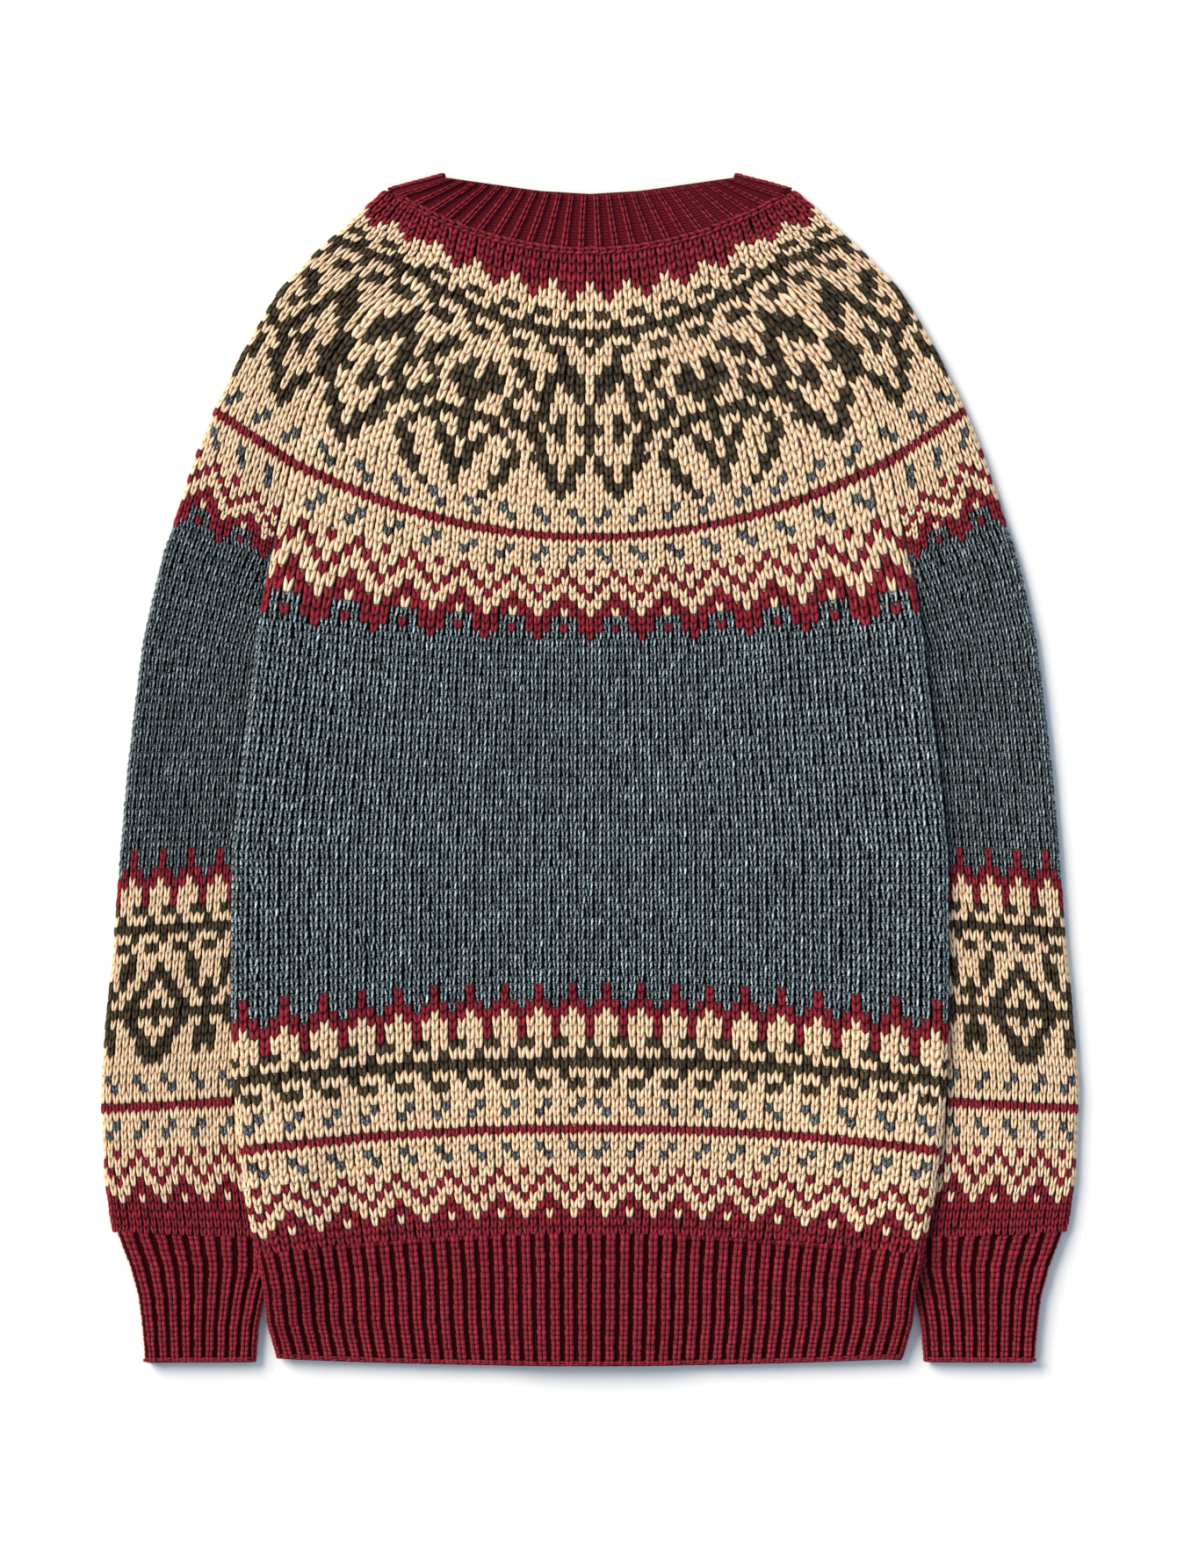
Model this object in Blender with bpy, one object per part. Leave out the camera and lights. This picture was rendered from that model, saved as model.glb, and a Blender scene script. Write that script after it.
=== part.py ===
"""A fair isle cardigan, buttoned up and laid face down on a flat surface.

The back is uppermost. The sleeves lie along the sides, tucked a little way under the body.
+X is the wearer's right, +Y points to the neck and +Z is up. The origin is on the surface,
under the middle of the garment. Every table is in millimetres; meshes are made in metres.
"""

import math
from collections import namedtuple

import bmesh
import bpy
from mathutils import Vector

# Knit and gaps, in millimetres
MM = 0.001
WALL = 3.0
AIR = 1.1
SEAM = 0.45
RAGLAN_GAP = 0.15
UNDERARM_GAP = 0.6
NECK_SEAM = 0.45
FOLD_RADIUS = AIR / 2
SIDE_SEAM_HALF = 0.15
EDGE_STEP = 0.4
HALF_FOLD = WALL + FOLD_RADIUS
RIB_RIDGE = 4.4
RIB_TROUGH = 2.8

# The inner faces of the upper and lower cloth layers, above the surface
LOWER_INSIDE = WALL
UPPER_INSIDE = WALL + AIR
MIDDLE = (LOWER_INSIDE + UPPER_INSIDE) / 2
UP = Vector((0.0, 0.0, 1.0))

# A point of a piece's inner face, and the way from there to its outer face
Knit = namedtuple("Knit", "inner outward")

# Where the body climbs over the tucked half of each sleeve
SLEEVE_TOP = UPPER_INSIDE + WALL
LIFT_OVER_SLEEVE = SLEEVE_TOP + 0.4
LIFT_OVER_CUFF = UPPER_INSIDE + RIB_RIDGE + 0.4
CUFF_LIFT_START_Y = -250.0
CUFF_LIFT_LENGTH = 25.0
TUCK_TOP_Y = 97.0
TUCK_FOOT_Y = -312.0
TUCK_MARGIN = 8.0
LIFT_FALL_ACROSS = 36.0
LIFT_FALL_ALONG = 27.0

# Front bands and buttons
BAND_HALF = 15.0
BAND_SIDE_GAP = 0.3
BUTTONHOLE_BAND_WALL = 3.4
BUTTON_BAND_UNDERSIDE = BUTTONHOLE_BAND_WALL + 0.3
BAND_LEVEL_LENGTH = 10.0
BAND_RISE_LENGTH = 22.0
BAND_FADE_FOOT_Y = 252.0
BACK_RISE = 3.2
BACK_RISE_HALF = 27.0
BACK_RISE_FALL = 38.0
BUTTON_COUNT = 7
BUTTON_FIRST_Y = -336.0
BUTTON_LAST_Y = 232.0
BUTTON_RADIUS = 9.0
BUTTON_THICKNESS = 2.4
BUTTON_CLEARANCE = 0.3
BUTTON_SIDES = 18
BUTTON_ROUNDING = 0.5
CUTTER_OVERRUN = 1.0
BAND_STEPS = 6

# Ribs, counted across what shows from above
HEM_RIBS = 46
CUFF_RIBS = 9
NECK_RIBS = 24
RIB_PLACES = (0.0, 0.24, 0.76)
RIB_WALLS = (RIB_TROUGH, RIB_RIDGE, RIB_RIDGE)

# Soft fullness of each sleeve beside the body
SLEEVE_PUFF = 2.2
PUFF_MARGIN = 5.0
PUFF_YOKE_ROWS = 5.0

# The body from the hem joint to just under the arm: the side edge, and the same row at the
# middle. Rows sag towards the sides low down and rise to the sides higher up.
BodyRow = namedtuple("BodyRow", "edge_x edge_y centre_y")
BODY_SIDE = [
    BodyRow(196.8, -286.0, -274.0),
    BodyRow(203.5, -255.0, -244.0),
    BodyRow(207.5, -222.0, -210.0),
    BodyRow(211.0, -184.0, -172.0),
    BodyRow(212.0, -140.0, -128.0),
    BodyRow(212.0, -95.0, -84.0),
    BodyRow(211.5, -48.0, -42.0),
    BodyRow(207.5, -12.0, -8.0),
    BodyRow(203.0, 24.0, 24.0),
    BodyRow(200.0, 50.0, 44.0),
    BodyRow(196.0, 84.0, 69.0),
    BodyRow(194.3, 97.0, 79.0),
    BodyRow(191.6, 111.0, 89.0),
]

# The hem rib under it, drawn in towards its foot
HEM_ROWS = [
    BodyRow(196.6, -286.0 - SEAM, -274.0 - SEAM),
    BodyRow(192.2, -307.0, -300.0),
    BodyRow(190.4, -328.0, -327.0),
    BodyRow(184.8, -348.6, -352.6),
]

# The raglan yoke from the underarm to the neck: the back's edge, the front's edge, the
# sleeve's outer fold, and where each row crosses the middle of the back and of the front
YokeRow = namedtuple(
    "YokeRow", "back_x back_y front_x front_y outer_x outer_y back_centre_y front_centre_y"
)
YOKE = [
    YokeRow(189.0, 124.0, 189.0, 124.0, 245.0, 148.5, 99.0, 99.0),
    YokeRow(183.0, 152.0, 185.0, 143.0, 234.5, 182.0, 117.0, 108.0),
    YokeRow(176.0, 182.0, 180.0, 165.0, 222.0, 213.0, 136.0, 122.0),
    YokeRow(167.0, 214.0, 174.5, 188.0, 205.4, 247.0, 160.0, 139.0),
    YokeRow(153.0, 244.0, 168.0, 211.0, 184.0, 283.0, 188.0, 156.0),
    YokeRow(131.0, 271.0, 159.0, 233.0, 163.0, 305.0, 218.0, 172.0),
    YokeRow(111.0, 291.0, 142.0, 258.0, 145.0, 321.0, 249.0, 188.0),
    YokeRow(101.0, 306.0, 122.0, 280.0, 133.5, 332.0, 275.0, 203.0),
    YokeRow(94.0, 326.3, 105.0, 297.0, 122.2, 341.9, 305.0, 217.0),
]
ROW_CURVE = 2.0
FRONT_NECK_CURVE = 3.2

# Each sleeve from the cuff joint to just under the arm: the fold tucked under the body and
# the outer fold
SleeveRow = namedtuple("SleeveRow", "inner_x inner_y outer_x outer_y")
SLEEVE_SIDE = [
    SleeveRow(187.0, -277.0, 282.3, -273.0),
    SleeveRow(178.0, -240.0, 287.3, -240.0),
    SleeveRow(169.0, -190.0, 289.2, -188.0),
    SleeveRow(162.0, -140.0, 285.3, -140.0),
    SleeveRow(156.0, -95.0, 281.2, -98.0),
    SleeveRow(150.0, -45.0, 277.8, -50.0),
    SleeveRow(147.0, 0.0, 273.8, -2.0),
    SleeveRow(150.0, 38.0, 268.9, 40.0),
    SleeveRow(160.0, 64.0, 264.0, 78.0),
    SleeveRow(178.0, 82.0, 258.0, 104.0),
    SleeveRow(194.9, 97.0, 255.0, 118.0),
    SleeveRow(192.2, 111.0, 250.5, 133.0),
]
CUFF_ROWS = [
    SleeveRow(187.0, -277.0 - SEAM, 282.0, -273.0 - SEAM),
    SleeveRow(188.0, -296.0, 273.9, -295.0),
    SleeveRow(192.7, -313.0, 269.0, -313.0),
    SleeveRow(196.0, -330.0, 266.8, -331.0),
    SleeveRow(197.5, -350.5, 265.2, -350.8),
]

# The neckband's upper edge on the back and on the front
NeckPoint = namedtuple("NeckPoint", "x y")
NECK_TOP_BACK = [
    NeckPoint(0.0, 339.4),
    NeckPoint(30.0, 341.2),
    NeckPoint(58.0, 345.2),
    NeckPoint(85.2, 349.2),
]
NECK_TOP_FRONT = [
    NeckPoint(85.2, 349.2),
    NeckPoint(73.0, 312.0),
    NeckPoint(58.0, 278.0),
    NeckPoint(38.0, 257.0),
    NeckPoint(BAND_HALF + BAND_SIDE_GAP, 249.5),
]
NECK_FOLD_OUT = Vector((0.305, 0.9524, 0.0))

# Soft rises in the back's cloth: from one end to the other, with height and half width
Fold = namedtuple("Fold", "start_x start_y end_x end_y height half_width")
BACK_FOLDS = [
    Fold(176.0, 110.0, 92.0, 40.0, 2.2, 17.0),
    Fold(-172.0, 104.0, -78.0, 22.0, 1.9, 18.0),
    Fold(198.0, 20.0, 168.0, -150.0, 1.5, 14.0),
    Fold(-200.0, 8.0, -172.0, -128.0, 1.7, 15.0),
    Fold(-128.0, -190.0, -118.0, -268.0, 1.3, 13.0),
    Fold(84.0, -196.0, 92.0, -270.0, 1.4, 14.0),
    Fold(30.0, 150.0, 120.0, 186.0, 1.2, 15.0),
    Fold(-44.0, 158.0, -112.0, 196.0, 1.1, 14.0),
]
BACK_EASE = 0.4
FOLD_FADE = 14.0

# Grid lines across each piece, as shares of its half width or width
BACK_SHARES = (0.0, 0.07, 0.13, 0.2, 0.28, 0.39, 0.5, 0.6, 0.68, 0.76, 0.84, 0.92, 1.0)
FRONT_SHARES = BACK_SHARES[3:]
FIRST_COLUMN_GAP = 6.0
HEM_FRONT_SHARES = (0.18, 0.27, 0.4, 0.5, 0.56, 0.62, 0.68, 0.74, 0.8, 0.86, 0.93, 1.0)
SLEEVE_UPPER_SHARES = (0.0, 0.16, 0.32, 0.46, 0.6, 0.74, 0.87, 1.0)
SLEEVE_LOWER_SHARES = (1.0, 0.66, 0.33, 0.0)
EDGE_TURNS = (30.0, 60.0, 90.0)
FOLD_TURNS = (45.0, 90.0, 135.0)
NECK_HEIGHT_STEPS = 3

# Colours of the yarns: red, green, blue
CRIMSON = (0.30, 0.022, 0.04)
TAN = (0.72, 0.48, 0.28)
SLATE = (0.11, 0.155, 0.19)
HORN = (0.13, 0.075, 0.045)
KNIT_ROUGHNESS = 0.95
BUTTON_ROUGHNESS = 0.45
SHARP_ANGLE = math.radians(50.0)


def clamp(value):
    return min(1.0, max(0.0, value))


def smooth(value):
    """0 below 0, 1 above 1 and an S curve between."""
    value = clamp(value)
    return value * value * (3.0 - 2.0 * value)


def mix(first, second, share):
    return first + (second - first) * share


def table_value(rows, key, wanted, place):
    """The wanted column where the key column equals place, on a table whose key rises."""
    for low, high in zip(rows, rows[1:]):
        if place <= getattr(high, key):
            span = getattr(high, key) - getattr(low, key)
            share = clamp((place - getattr(low, key)) / span)
            return mix(getattr(low, wanted), getattr(high, wanted), share)
    return getattr(rows[-1], wanted)


def path_shares(path):
    """How far along the path each of its points lies, from 0 to 1."""
    reached = [0.0]
    for start, end in zip(path, path[1:]):
        reached.append(reached[-1] + (end - start).length)
    return [length / reached[-1] for length in reached]


def path_point(path, share):
    """The point at a share of the length of a path of Vectors."""
    shares = path_shares(path)
    for start, end, low, high in zip(path, path[1:], shares, shares[1:]):
        if share <= high:
            return start.lerp(end, (share - low) / (high - low))
    return path[-1].copy()


def offset_path(path, distance):
    """The path moved sideways, to the left of its direction, with mitred corners."""
    ways = [(end - start).normalized() for start, end in zip(path, path[1:])]
    moved = []
    for point, arriving, leaving in zip(path, ways[:1] + ways, ways + ways[-1:]):
        along = (arriving + leaving).normalized()
        left = Vector((-along.y, along.x, 0.0))
        moved.append(point + left * distance / along.dot(leaving))
    return moved


def row_y(centre_y, edge_y, share, curve):
    """The height of a row's curve at a share of the half width."""
    return mix(centre_y, edge_y, abs(share) ** curve)


# ---------------------------------------------------------------- where the cloth lies


def tuck_fold_x(y):
    """How far from the middle the tucked fold of a sleeve lies, at this height."""
    tucked_cuff = [row for row in CUFF_ROWS[::-1] if row.inner_y > TUCK_FOOT_Y - TUCK_MARGIN]
    rows = tucked_cuff + SLEEVE_SIDE[:-1]
    return table_value(rows, "inner_y", "inner_x", min(max(y, TUCK_FOOT_Y), TUCK_TOP_Y))


def side_lift(x, y):
    """How far the body is raised where it lies over a sleeve."""
    cuff_share = smooth((CUFF_LIFT_START_Y - y) / CUFF_LIFT_LENGTH)
    height = mix(LIFT_OVER_SLEEVE, LIFT_OVER_CUFF, cuff_share)
    across = max(0.0, tuck_fold_x(y) - TUCK_MARGIN - abs(x)) / LIFT_FALL_ACROSS
    along = max(0.0, y - TUCK_TOP_Y, TUCK_FOOT_Y - y) / LIFT_FALL_ALONG
    return height * (1.0 - smooth(math.hypot(across, along)))


def back_lift(x, y):
    """How far the back is raised over the sleeves and over the two front bands."""
    across = 1.0 - smooth((abs(x) - BACK_RISE_HALF) / BACK_RISE_FALL)
    along = 1.0 - smooth((y - BAND_FADE_FOOT_Y) / BACK_RISE_FALL)
    return max(side_lift(x, y), BACK_RISE * across * along)


def front_rise(x):
    """How far the wearer's left front climbs to reach the upper, button band."""
    beyond = -x - BAND_HALF - BAND_LEVEL_LENGTH
    return 0.0 if x > 0.0 else BUTTON_BAND_UNDERSIDE * (1.0 - smooth(beyond / BAND_RISE_LENGTH))


def front_lift(x, y):
    return side_lift(x, y) + front_rise(x)


def fold_rise(x, y, edge_x):
    """The soft rises of the back's cloth, which die away at its side edges."""
    rise = BACK_EASE
    here = Vector((x, y))
    for fold in BACK_FOLDS:
        start = Vector((fold.start_x, fold.start_y))
        run = Vector((fold.end_x, fold.end_y)) - start
        share = clamp((here - start).dot(run) / run.length_squared)
        distance = (here - start - run * share).length / fold.half_width
        rise += fold.height * math.exp(-distance * distance)
    return rise * smooth((edge_x - abs(x)) / FOLD_FADE)


# ---------------------------------------------------------------- cloth solids


def flat_knit(x, y, lift, upper, wall=WALL):
    """A point of level cloth in the upper or the lower layer."""
    inside = UPPER_INSIDE if upper else LOWER_INSIDE
    return Knit(Vector((x, y, inside + lift)), UP * (wall if upper else -wall))


def turned_knit(centre, outward, turns, radius=FOLD_RADIUS):
    """Points of cloth that turns round a centre. A turn of 0 faces up and 90 faces outward."""
    points = []
    for turn in turns:
        angle = math.radians(turn)
        direction = outward * math.sin(angle) + UP * math.cos(angle)
        points.append(Knit(centre + direction * radius, direction * WALL))
    return points


def sheet(name, rows, finish, collection, closed_rows=0):
    """One piece of cloth through rows of Knit points, as two skins joined round their edges.

    The first closed_rows rows are rings, whose last point is their first.
    """
    shape = bmesh.new()
    inner_skin = []
    outer_skin = []
    for index, row in enumerate(rows):
        for skin, reach in ((inner_skin, 0.0), (outer_skin, 1.0)):
            line = [shape.verts.new((knit.inner + knit.outward * reach) * MM) for knit in row[:-1]]
            last = row[-1].inner + row[-1].outward * reach
            line.append(line[0] if index < closed_rows else shape.verts.new(last * MM))
            skin.append(line)
    partner = {}
    for inner_line, outer_line in zip(inner_skin, outer_skin):
        partner.update(zip(inner_line, outer_line))
    for skin in (inner_skin, outer_skin):
        for low, high in zip(skin, skin[1:]):
            for column in range(len(low) - 1):
                shape.faces.new((low[column], low[column + 1], high[column + 1], high[column]))
    for edge in [edge for edge in shape.edges if edge.is_boundary and edge.verts[0] in partner]:
        first, second = edge.verts
        shape.faces.new((first, second, partner[second], partner[first]))
    bmesh.ops.recalc_face_normals(shape, faces=shape.faces)
    mesh = bpy.data.meshes.new(name)
    shape.to_mesh(mesh)
    shape.free()
    mesh.shade_smooth()
    mesh.set_sharp_from_angle(angle=SHARP_ANGLE)
    return add_object(name, mesh, finish, collection)


def rib_line(ribs, start, end):
    """Shares of rib columns between two shares, with the thickness of the wall at each."""
    line = []
    for rib in range(ribs):
        for place, wall in zip(RIB_PLACES, RIB_WALLS):
            line.append((mix(start, end, (rib + place) / ribs), wall))
    line.append((end, RIB_TROUGH))
    return line


# ---------------------------------------------------------------- body


def side_edge(edge, side, lift, upper):
    """A panel's side edge, turned through a quarter circle to its side seam."""
    seam_half = SIDE_SEAM_HALF if upper else -SIDE_SEAM_HALF
    centre = Vector((edge.x, edge.y, MIDDLE + lift + seam_half))
    turns = EDGE_TURNS if upper else [180.0 - turn for turn in EDGE_TURNS]
    radius = FOLD_RADIUS - SIDE_SEAM_HALF
    return turned_knit(centre, Vector((side, 0.0, 0.0)), turns, radius)


def raglan_edge(knit, side):
    """As many points as a turned edge has, going straight on."""
    step = Vector((side * EDGE_STEP, 0.0, 0.0))
    return [Knit(knit.inner + step * (count + 1), knit.outward) for count in range(len(EDGE_TURNS))]


def panel_half(row, curve, line, side, upper, has_side_seam, lift_of):
    """Half a row of a body panel, through (distance from the middle, wall) pairs to its edge."""
    edge_x = panel_edge_x(row, has_side_seam)
    points = []
    for reach, wall in line:
        x = side * reach
        y = row_y(row.centre_y, row.edge_y, reach / edge_x, curve)
        points.append(flat_knit(x, y, lift_of(x, y), upper, wall))
    edge = points[-1].inner
    if has_side_seam:
        return points + side_edge(edge, side, lift_of(edge.x, edge.y), upper)
    return points + raglan_edge(points[-1], side)


def panel_edge_x(row, has_side_seam):
    """Where a panel's level cloth ends and its edge begins."""
    if has_side_seam:
        return row.edge_x - WALL - FOLD_RADIUS + SIDE_SEAM_HALF
    return row.edge_x - SEAM - EDGE_STEP * len(EDGE_TURNS)


def body_rows(edge_x, edge_y, centre_y):
    """The rows of a body panel, taking these columns of the yoke, and which have side seams."""
    yoke = [BodyRow(getattr(r, edge_x), getattr(r, edge_y), getattr(r, centre_y)) for r in YOKE]
    rows = BODY_SIDE + yoke
    return [(row, index <= len(BODY_SIDE)) for index, row in enumerate(rows)]


def whole_row(row, has_side_seam, line, lift_of):
    """A row of the back from its left edge to its right edge."""
    halves = [
        panel_half(row, ROW_CURVE, line, side, True, has_side_seam, lift_of) for side in (-1.0, 1.0)
    ]
    return halves[0][::-1] + halves[1][1:]


def build_back(finish, collection):
    rows = []
    for row, has_side_seam in body_rows("back_x", "back_y", "back_centre_y"):
        edge_x = panel_edge_x(row, has_side_seam)
        line = [(share * edge_x, WALL) for share in BACK_SHARES]

        def lift_of(x, y, fade_x=edge_x):
            return back_lift(x, y) + fold_rise(x, y, fade_x)

        rows.append(whole_row(row, has_side_seam, line, lift_of))
    sheet("back", rows, finish, collection)


def build_hem_back(finish, collection):
    rows = []
    for row in HEM_ROWS:
        edge_x = panel_edge_x(row, True)
        line = [(share * edge_x, wall) for share, wall in rib_line(HEM_RIBS // 2, 0.0, 1.0)]
        rows.append(whole_row(row, True, line, back_lift))
    sheet("hem_rib_back", rows, finish, collection)


def front_row(row, curve, side, has_side_seam, shares):
    """A row of one front: level beside its band, then out to its side."""
    edge_x = panel_edge_x(row, has_side_seam)
    band_edge = BAND_HALF + BAND_SIDE_GAP
    level_end = band_edge + BAND_LEVEL_LENGTH
    first = shares[0] * edge_x
    squeeze = max(0.0, level_end + FIRST_COLUMN_GAP - first) / (edge_x - first)
    reaches = [band_edge, level_end] + [mix(share, 1.0, squeeze) * edge_x for share in shares]
    line = [(reach, WALL) for reach in reaches]
    return panel_half(row, curve, line, side, False, has_side_seam, front_lift)


def front_rows(side):
    """All rows of one front, whose curve deepens from the underarm to the neck."""
    rows = []
    for index, (row, has_side_seam) in enumerate(body_rows("front_x", "front_y", "front_centre_y")):
        climb = clamp((index - len(BODY_SIDE)) / (len(YOKE) - 1))
        curve = mix(ROW_CURVE, FRONT_NECK_CURVE, climb)
        rows.append(front_row(row, curve, side, has_side_seam, FRONT_SHARES))
    return rows


def build_front(name, side, finish, collection):
    sheet(name, front_rows(side), finish, collection)


def build_hem_front(name, side, finish, collection):
    rows = [front_row(row, ROW_CURVE, side, True, HEM_FRONT_SHARES) for row in HEM_ROWS]
    sheet(name, rows, finish, collection)


# ---------------------------------------------------------------- sleeves and cuffs


def ring(inner, outer, under, upper_line, closed, puff_of):
    """A row round a sleeve: over the top, round the outer fold, and back along the bottom.

    upper_line holds (share, wall) pairs. A closed ring ends in a fold under the body. An open
    one ends in two free edges, at inner on top and at under below.
    """
    along = (outer - inner).normalized()
    under_along = (outer - under).normalized()
    outer_centre = outer - along * HALF_FOLD
    fold_inset = HALF_FOLD if closed else EDGE_STEP
    first = inner + along * fold_inset
    last = under + under_along * fold_inset
    if closed:
        points = turned_knit(first + UP * MIDDLE, -along, (90.0, 45.0))
    else:
        edge = (inner, inner + along * EDGE_STEP / 2)
        points = [flat_knit(place.x, place.y, 0.0, True) for place in edge]
    for share, wall in upper_line:
        place = first.lerp(outer_centre, share)
        points.append(flat_knit(place.x, place.y, puff_of(place), True, wall))
    points += turned_knit(outer_centre + UP * MIDDLE, along, FOLD_TURNS)
    for share in SLEEVE_LOWER_SHARES:
        place = last.lerp(outer_centre, share)
        points.append(flat_knit(place.x, place.y, 0.0, False))
    if closed:
        points += turned_knit(last + UP * MIDDLE, -under_along, (135.0,))
        points.append(points[0])
    else:
        edge = (under + under_along * EDGE_STEP / 2, under)
        points += [flat_knit(place.x, place.y, 0.0, False) for place in edge]
    return points


def mirrored(rows, side):
    """The rows as they are on the right, or turned over to the left."""
    if side > 0:
        return rows
    flip = Vector((-1.0, 1.0, 1.0))
    return [[Knit(knit.inner * flip, knit.outward * flip) for knit in row] for row in rows]


def sleeve_puff(share, strength):
    """The soft fullness of a sleeve, from the body's edge to its outer fold."""
    return SLEEVE_PUFF * strength * math.sin(math.pi * clamp(share)) ** 2


def build_sleeve(name, side, finish, collection):
    line = [(share, WALL) for share in SLEEVE_UPPER_SHARES]
    rows = []
    for row in SLEEVE_SIDE:
        inner = Vector((row.inner_x, row.inner_y, 0.0))
        outer = Vector((row.outer_x, row.outer_y, 0.0))

        def puff_beside_body(place, outer_x=row.outer_x):
            start = table_value(BODY_SIDE, "edge_y", "edge_x", place.y) + PUFF_MARGIN
            return sleeve_puff((place.x - start) / (outer_x - PUFF_MARGIN - start), 1.0)

        rows.append(ring(inner, outer, inner, line, True, puff_beside_body))
    for index, row in enumerate(YOKE):
        at_underarm = index == 0
        gap = Vector((UNDERARM_GAP if at_underarm else RAGLAN_GAP, 0.0, 0.0))
        inner = Vector((row.back_x, row.back_y, 0.0)) + gap
        under = Vector((row.front_x, row.front_y, 0.0)) + gap
        outer = Vector((row.outer_x, row.outer_y, 0.0))
        strength = 1.0 - smooth(index / PUFF_YOKE_ROWS)

        def puff_on_yoke(place, start=inner, end=outer, level=strength):
            return sleeve_puff((place - start).length / (end - start).length, level)

        rows.append(ring(inner, outer, under, line, at_underarm, puff_on_yoke))
    closed_rows = len(SLEEVE_SIDE) + 1
    sheet(name, mirrored(rows, side), finish, collection, closed_rows)


def build_cuff(name, side, finish, collection):
    """A rib tube: ribs on top, plain where it lies flat below."""
    line = rib_line(CUFF_RIBS, 0.0, 1.0)
    rows = []
    for row in CUFF_ROWS:
        inner = Vector((row.inner_x, row.inner_y, 0.0))
        outer = Vector((row.outer_x, row.outer_y, 0.0))
        rows.append(ring(inner, outer, inner, line, True, lambda place: 0.0))
    sheet(name, mirrored(rows, side), finish, collection, len(rows))


# ---------------------------------------------------------------- neckband


def neck_bases():
    """The base of the right half of the neckband, on the back and on the front.

    Each follows the top row of the panel below it, then the top of the sleeve to its fold.
    """
    top = YOKE[-1]
    sleeve_back = Vector((top.back_x + RAGLAN_GAP, top.back_y, 0.0))
    sleeve_front = Vector((top.front_x + RAGLAN_GAP, top.front_y, 0.0))
    fold = Vector((top.outer_x, top.outer_y, 0.0))
    corner = fold - (fold - sleeve_back).normalized() * HALF_FOLD
    row = BodyRow(top.back_x, top.back_y, top.back_centre_y)
    edge_x = panel_edge_x(row, False)
    back = []
    for share in BACK_SHARES:
        y = row_y(row.centre_y, row.edge_y, share, ROW_CURVE)
        back.append(Vector((share * edge_x, y, 0.0)))
    back += [sleeve_back, corner]
    front = [corner, sleeve_front]
    for knit in front_rows(1.0)[-1][: -len(EDGE_TURNS)][::-1]:
        front.append(Vector((knit.inner.x, knit.inner.y, 0.0)))
    return offset_path(back, NECK_SEAM), offset_path(front, -NECK_SEAM)


def neck_section(base, top, z, outward):
    """A line across the neckband, from its seam to its free edge."""
    line = []
    for step in range(NECK_HEIGHT_STEPS + 1):
        place = base.lerp(top, step / NECK_HEIGHT_STEPS)
        line.append(Knit(Vector((place.x, place.y, z)), outward))
    return line


def neck_half(side):
    """Sections from the middle of the back, over the fold and down to the front band."""
    base_back, base_front = neck_bases()
    top_back = [Vector((point.x, point.y, 0.0)) for point in NECK_TOP_BACK]
    top_front = [Vector((point.x, point.y, 0.0)) for point in NECK_TOP_FRONT]
    sections = []
    for share, wall in rib_line(NECK_RIBS // 2, 0.0, 1.0):
        base = path_point(base_back, share)
        top = path_point(top_back, share)
        sections.append(neck_section(base, top, UPPER_INSIDE, UP * wall))
    for turn in FOLD_TURNS:
        angle = math.radians(turn)
        direction = NECK_FOLD_OUT * math.sin(angle) + UP * math.cos(angle)
        reach = NECK_FOLD_OUT * FOLD_RADIUS * math.sin(angle)
        z = MIDDLE + FOLD_RADIUS * math.cos(angle)
        base = base_back[-1] + reach
        sections.append(neck_section(base, top_back[-1] + reach, z, direction * WALL))
    for base, share in zip(base_front, path_shares(base_front)):
        top = path_point(top_front, share)
        sections.append(neck_section(base, top, LOWER_INSIDE, -UP * WALL))
    sections = mirrored(sections, side)
    if side > 0:
        return sections
    lower = len(sections) - len(base_front)
    return sections[:lower] + [raised(section) for section in sections[lower:]]


def raised(section):
    """A section of the lower layer, raised where it climbs to the button band."""
    return [Knit(knit.inner + UP * front_rise(knit.inner.x), knit.outward) for knit in section]


def build_neckband(finish, collection):
    sections = neck_half(-1.0)[::-1] + neck_half(1.0)[1:]
    sheet("neckband", sections, finish, collection)


# ---------------------------------------------------------------- front bands and buttons


def build_band(name, underside, wall, finish, collection):
    """A front band from the foot of the hem to the top of the neckband."""
    foot = HEM_ROWS[-1].centre_y
    head = NECK_TOP_FRONT[-1].y
    rows = []
    for step in range(BAND_STEPS + 1):
        y = mix(foot, head, step / BAND_STEPS)
        points = [Vector((share * BAND_HALF, y, underside + wall)) for share in (-1.0, 0.0, 1.0)]
        rows.append([Knit(point, -UP * wall) for point in points])
    return sheet(name, rows, finish, collection)


def button_places():
    step = (BUTTON_LAST_Y - BUTTON_FIRST_Y) / (BUTTON_COUNT - 1)
    return [BUTTON_FIRST_Y + step * index for index in range(BUTTON_COUNT)]


def disc(name, radius, low, high, y, rounding):
    """A disc on its flat side, with both rims rounded off where rounding isn't 0."""
    shape = bmesh.new()
    bmesh.ops.create_cone(
        shape,
        cap_ends=True,
        segments=BUTTON_SIDES,
        radius1=radius * MM,
        radius2=radius * MM,
        depth=(high - low) * MM,
    )
    if rounding:
        rims = [e for e in shape.edges if max(len(face.verts) for face in e.link_faces) > 4]
        bmesh.ops.bevel(
            shape, geom=rims, offset=rounding * MM, segments=1, profile=0.5, affect="EDGES"
        )
    bmesh.ops.translate(shape, verts=shape.verts, vec=Vector((0.0, y, (low + high) / 2)) * MM)
    mesh = bpy.data.meshes.new(name)
    shape.to_mesh(mesh)
    shape.free()
    return mesh


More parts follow.
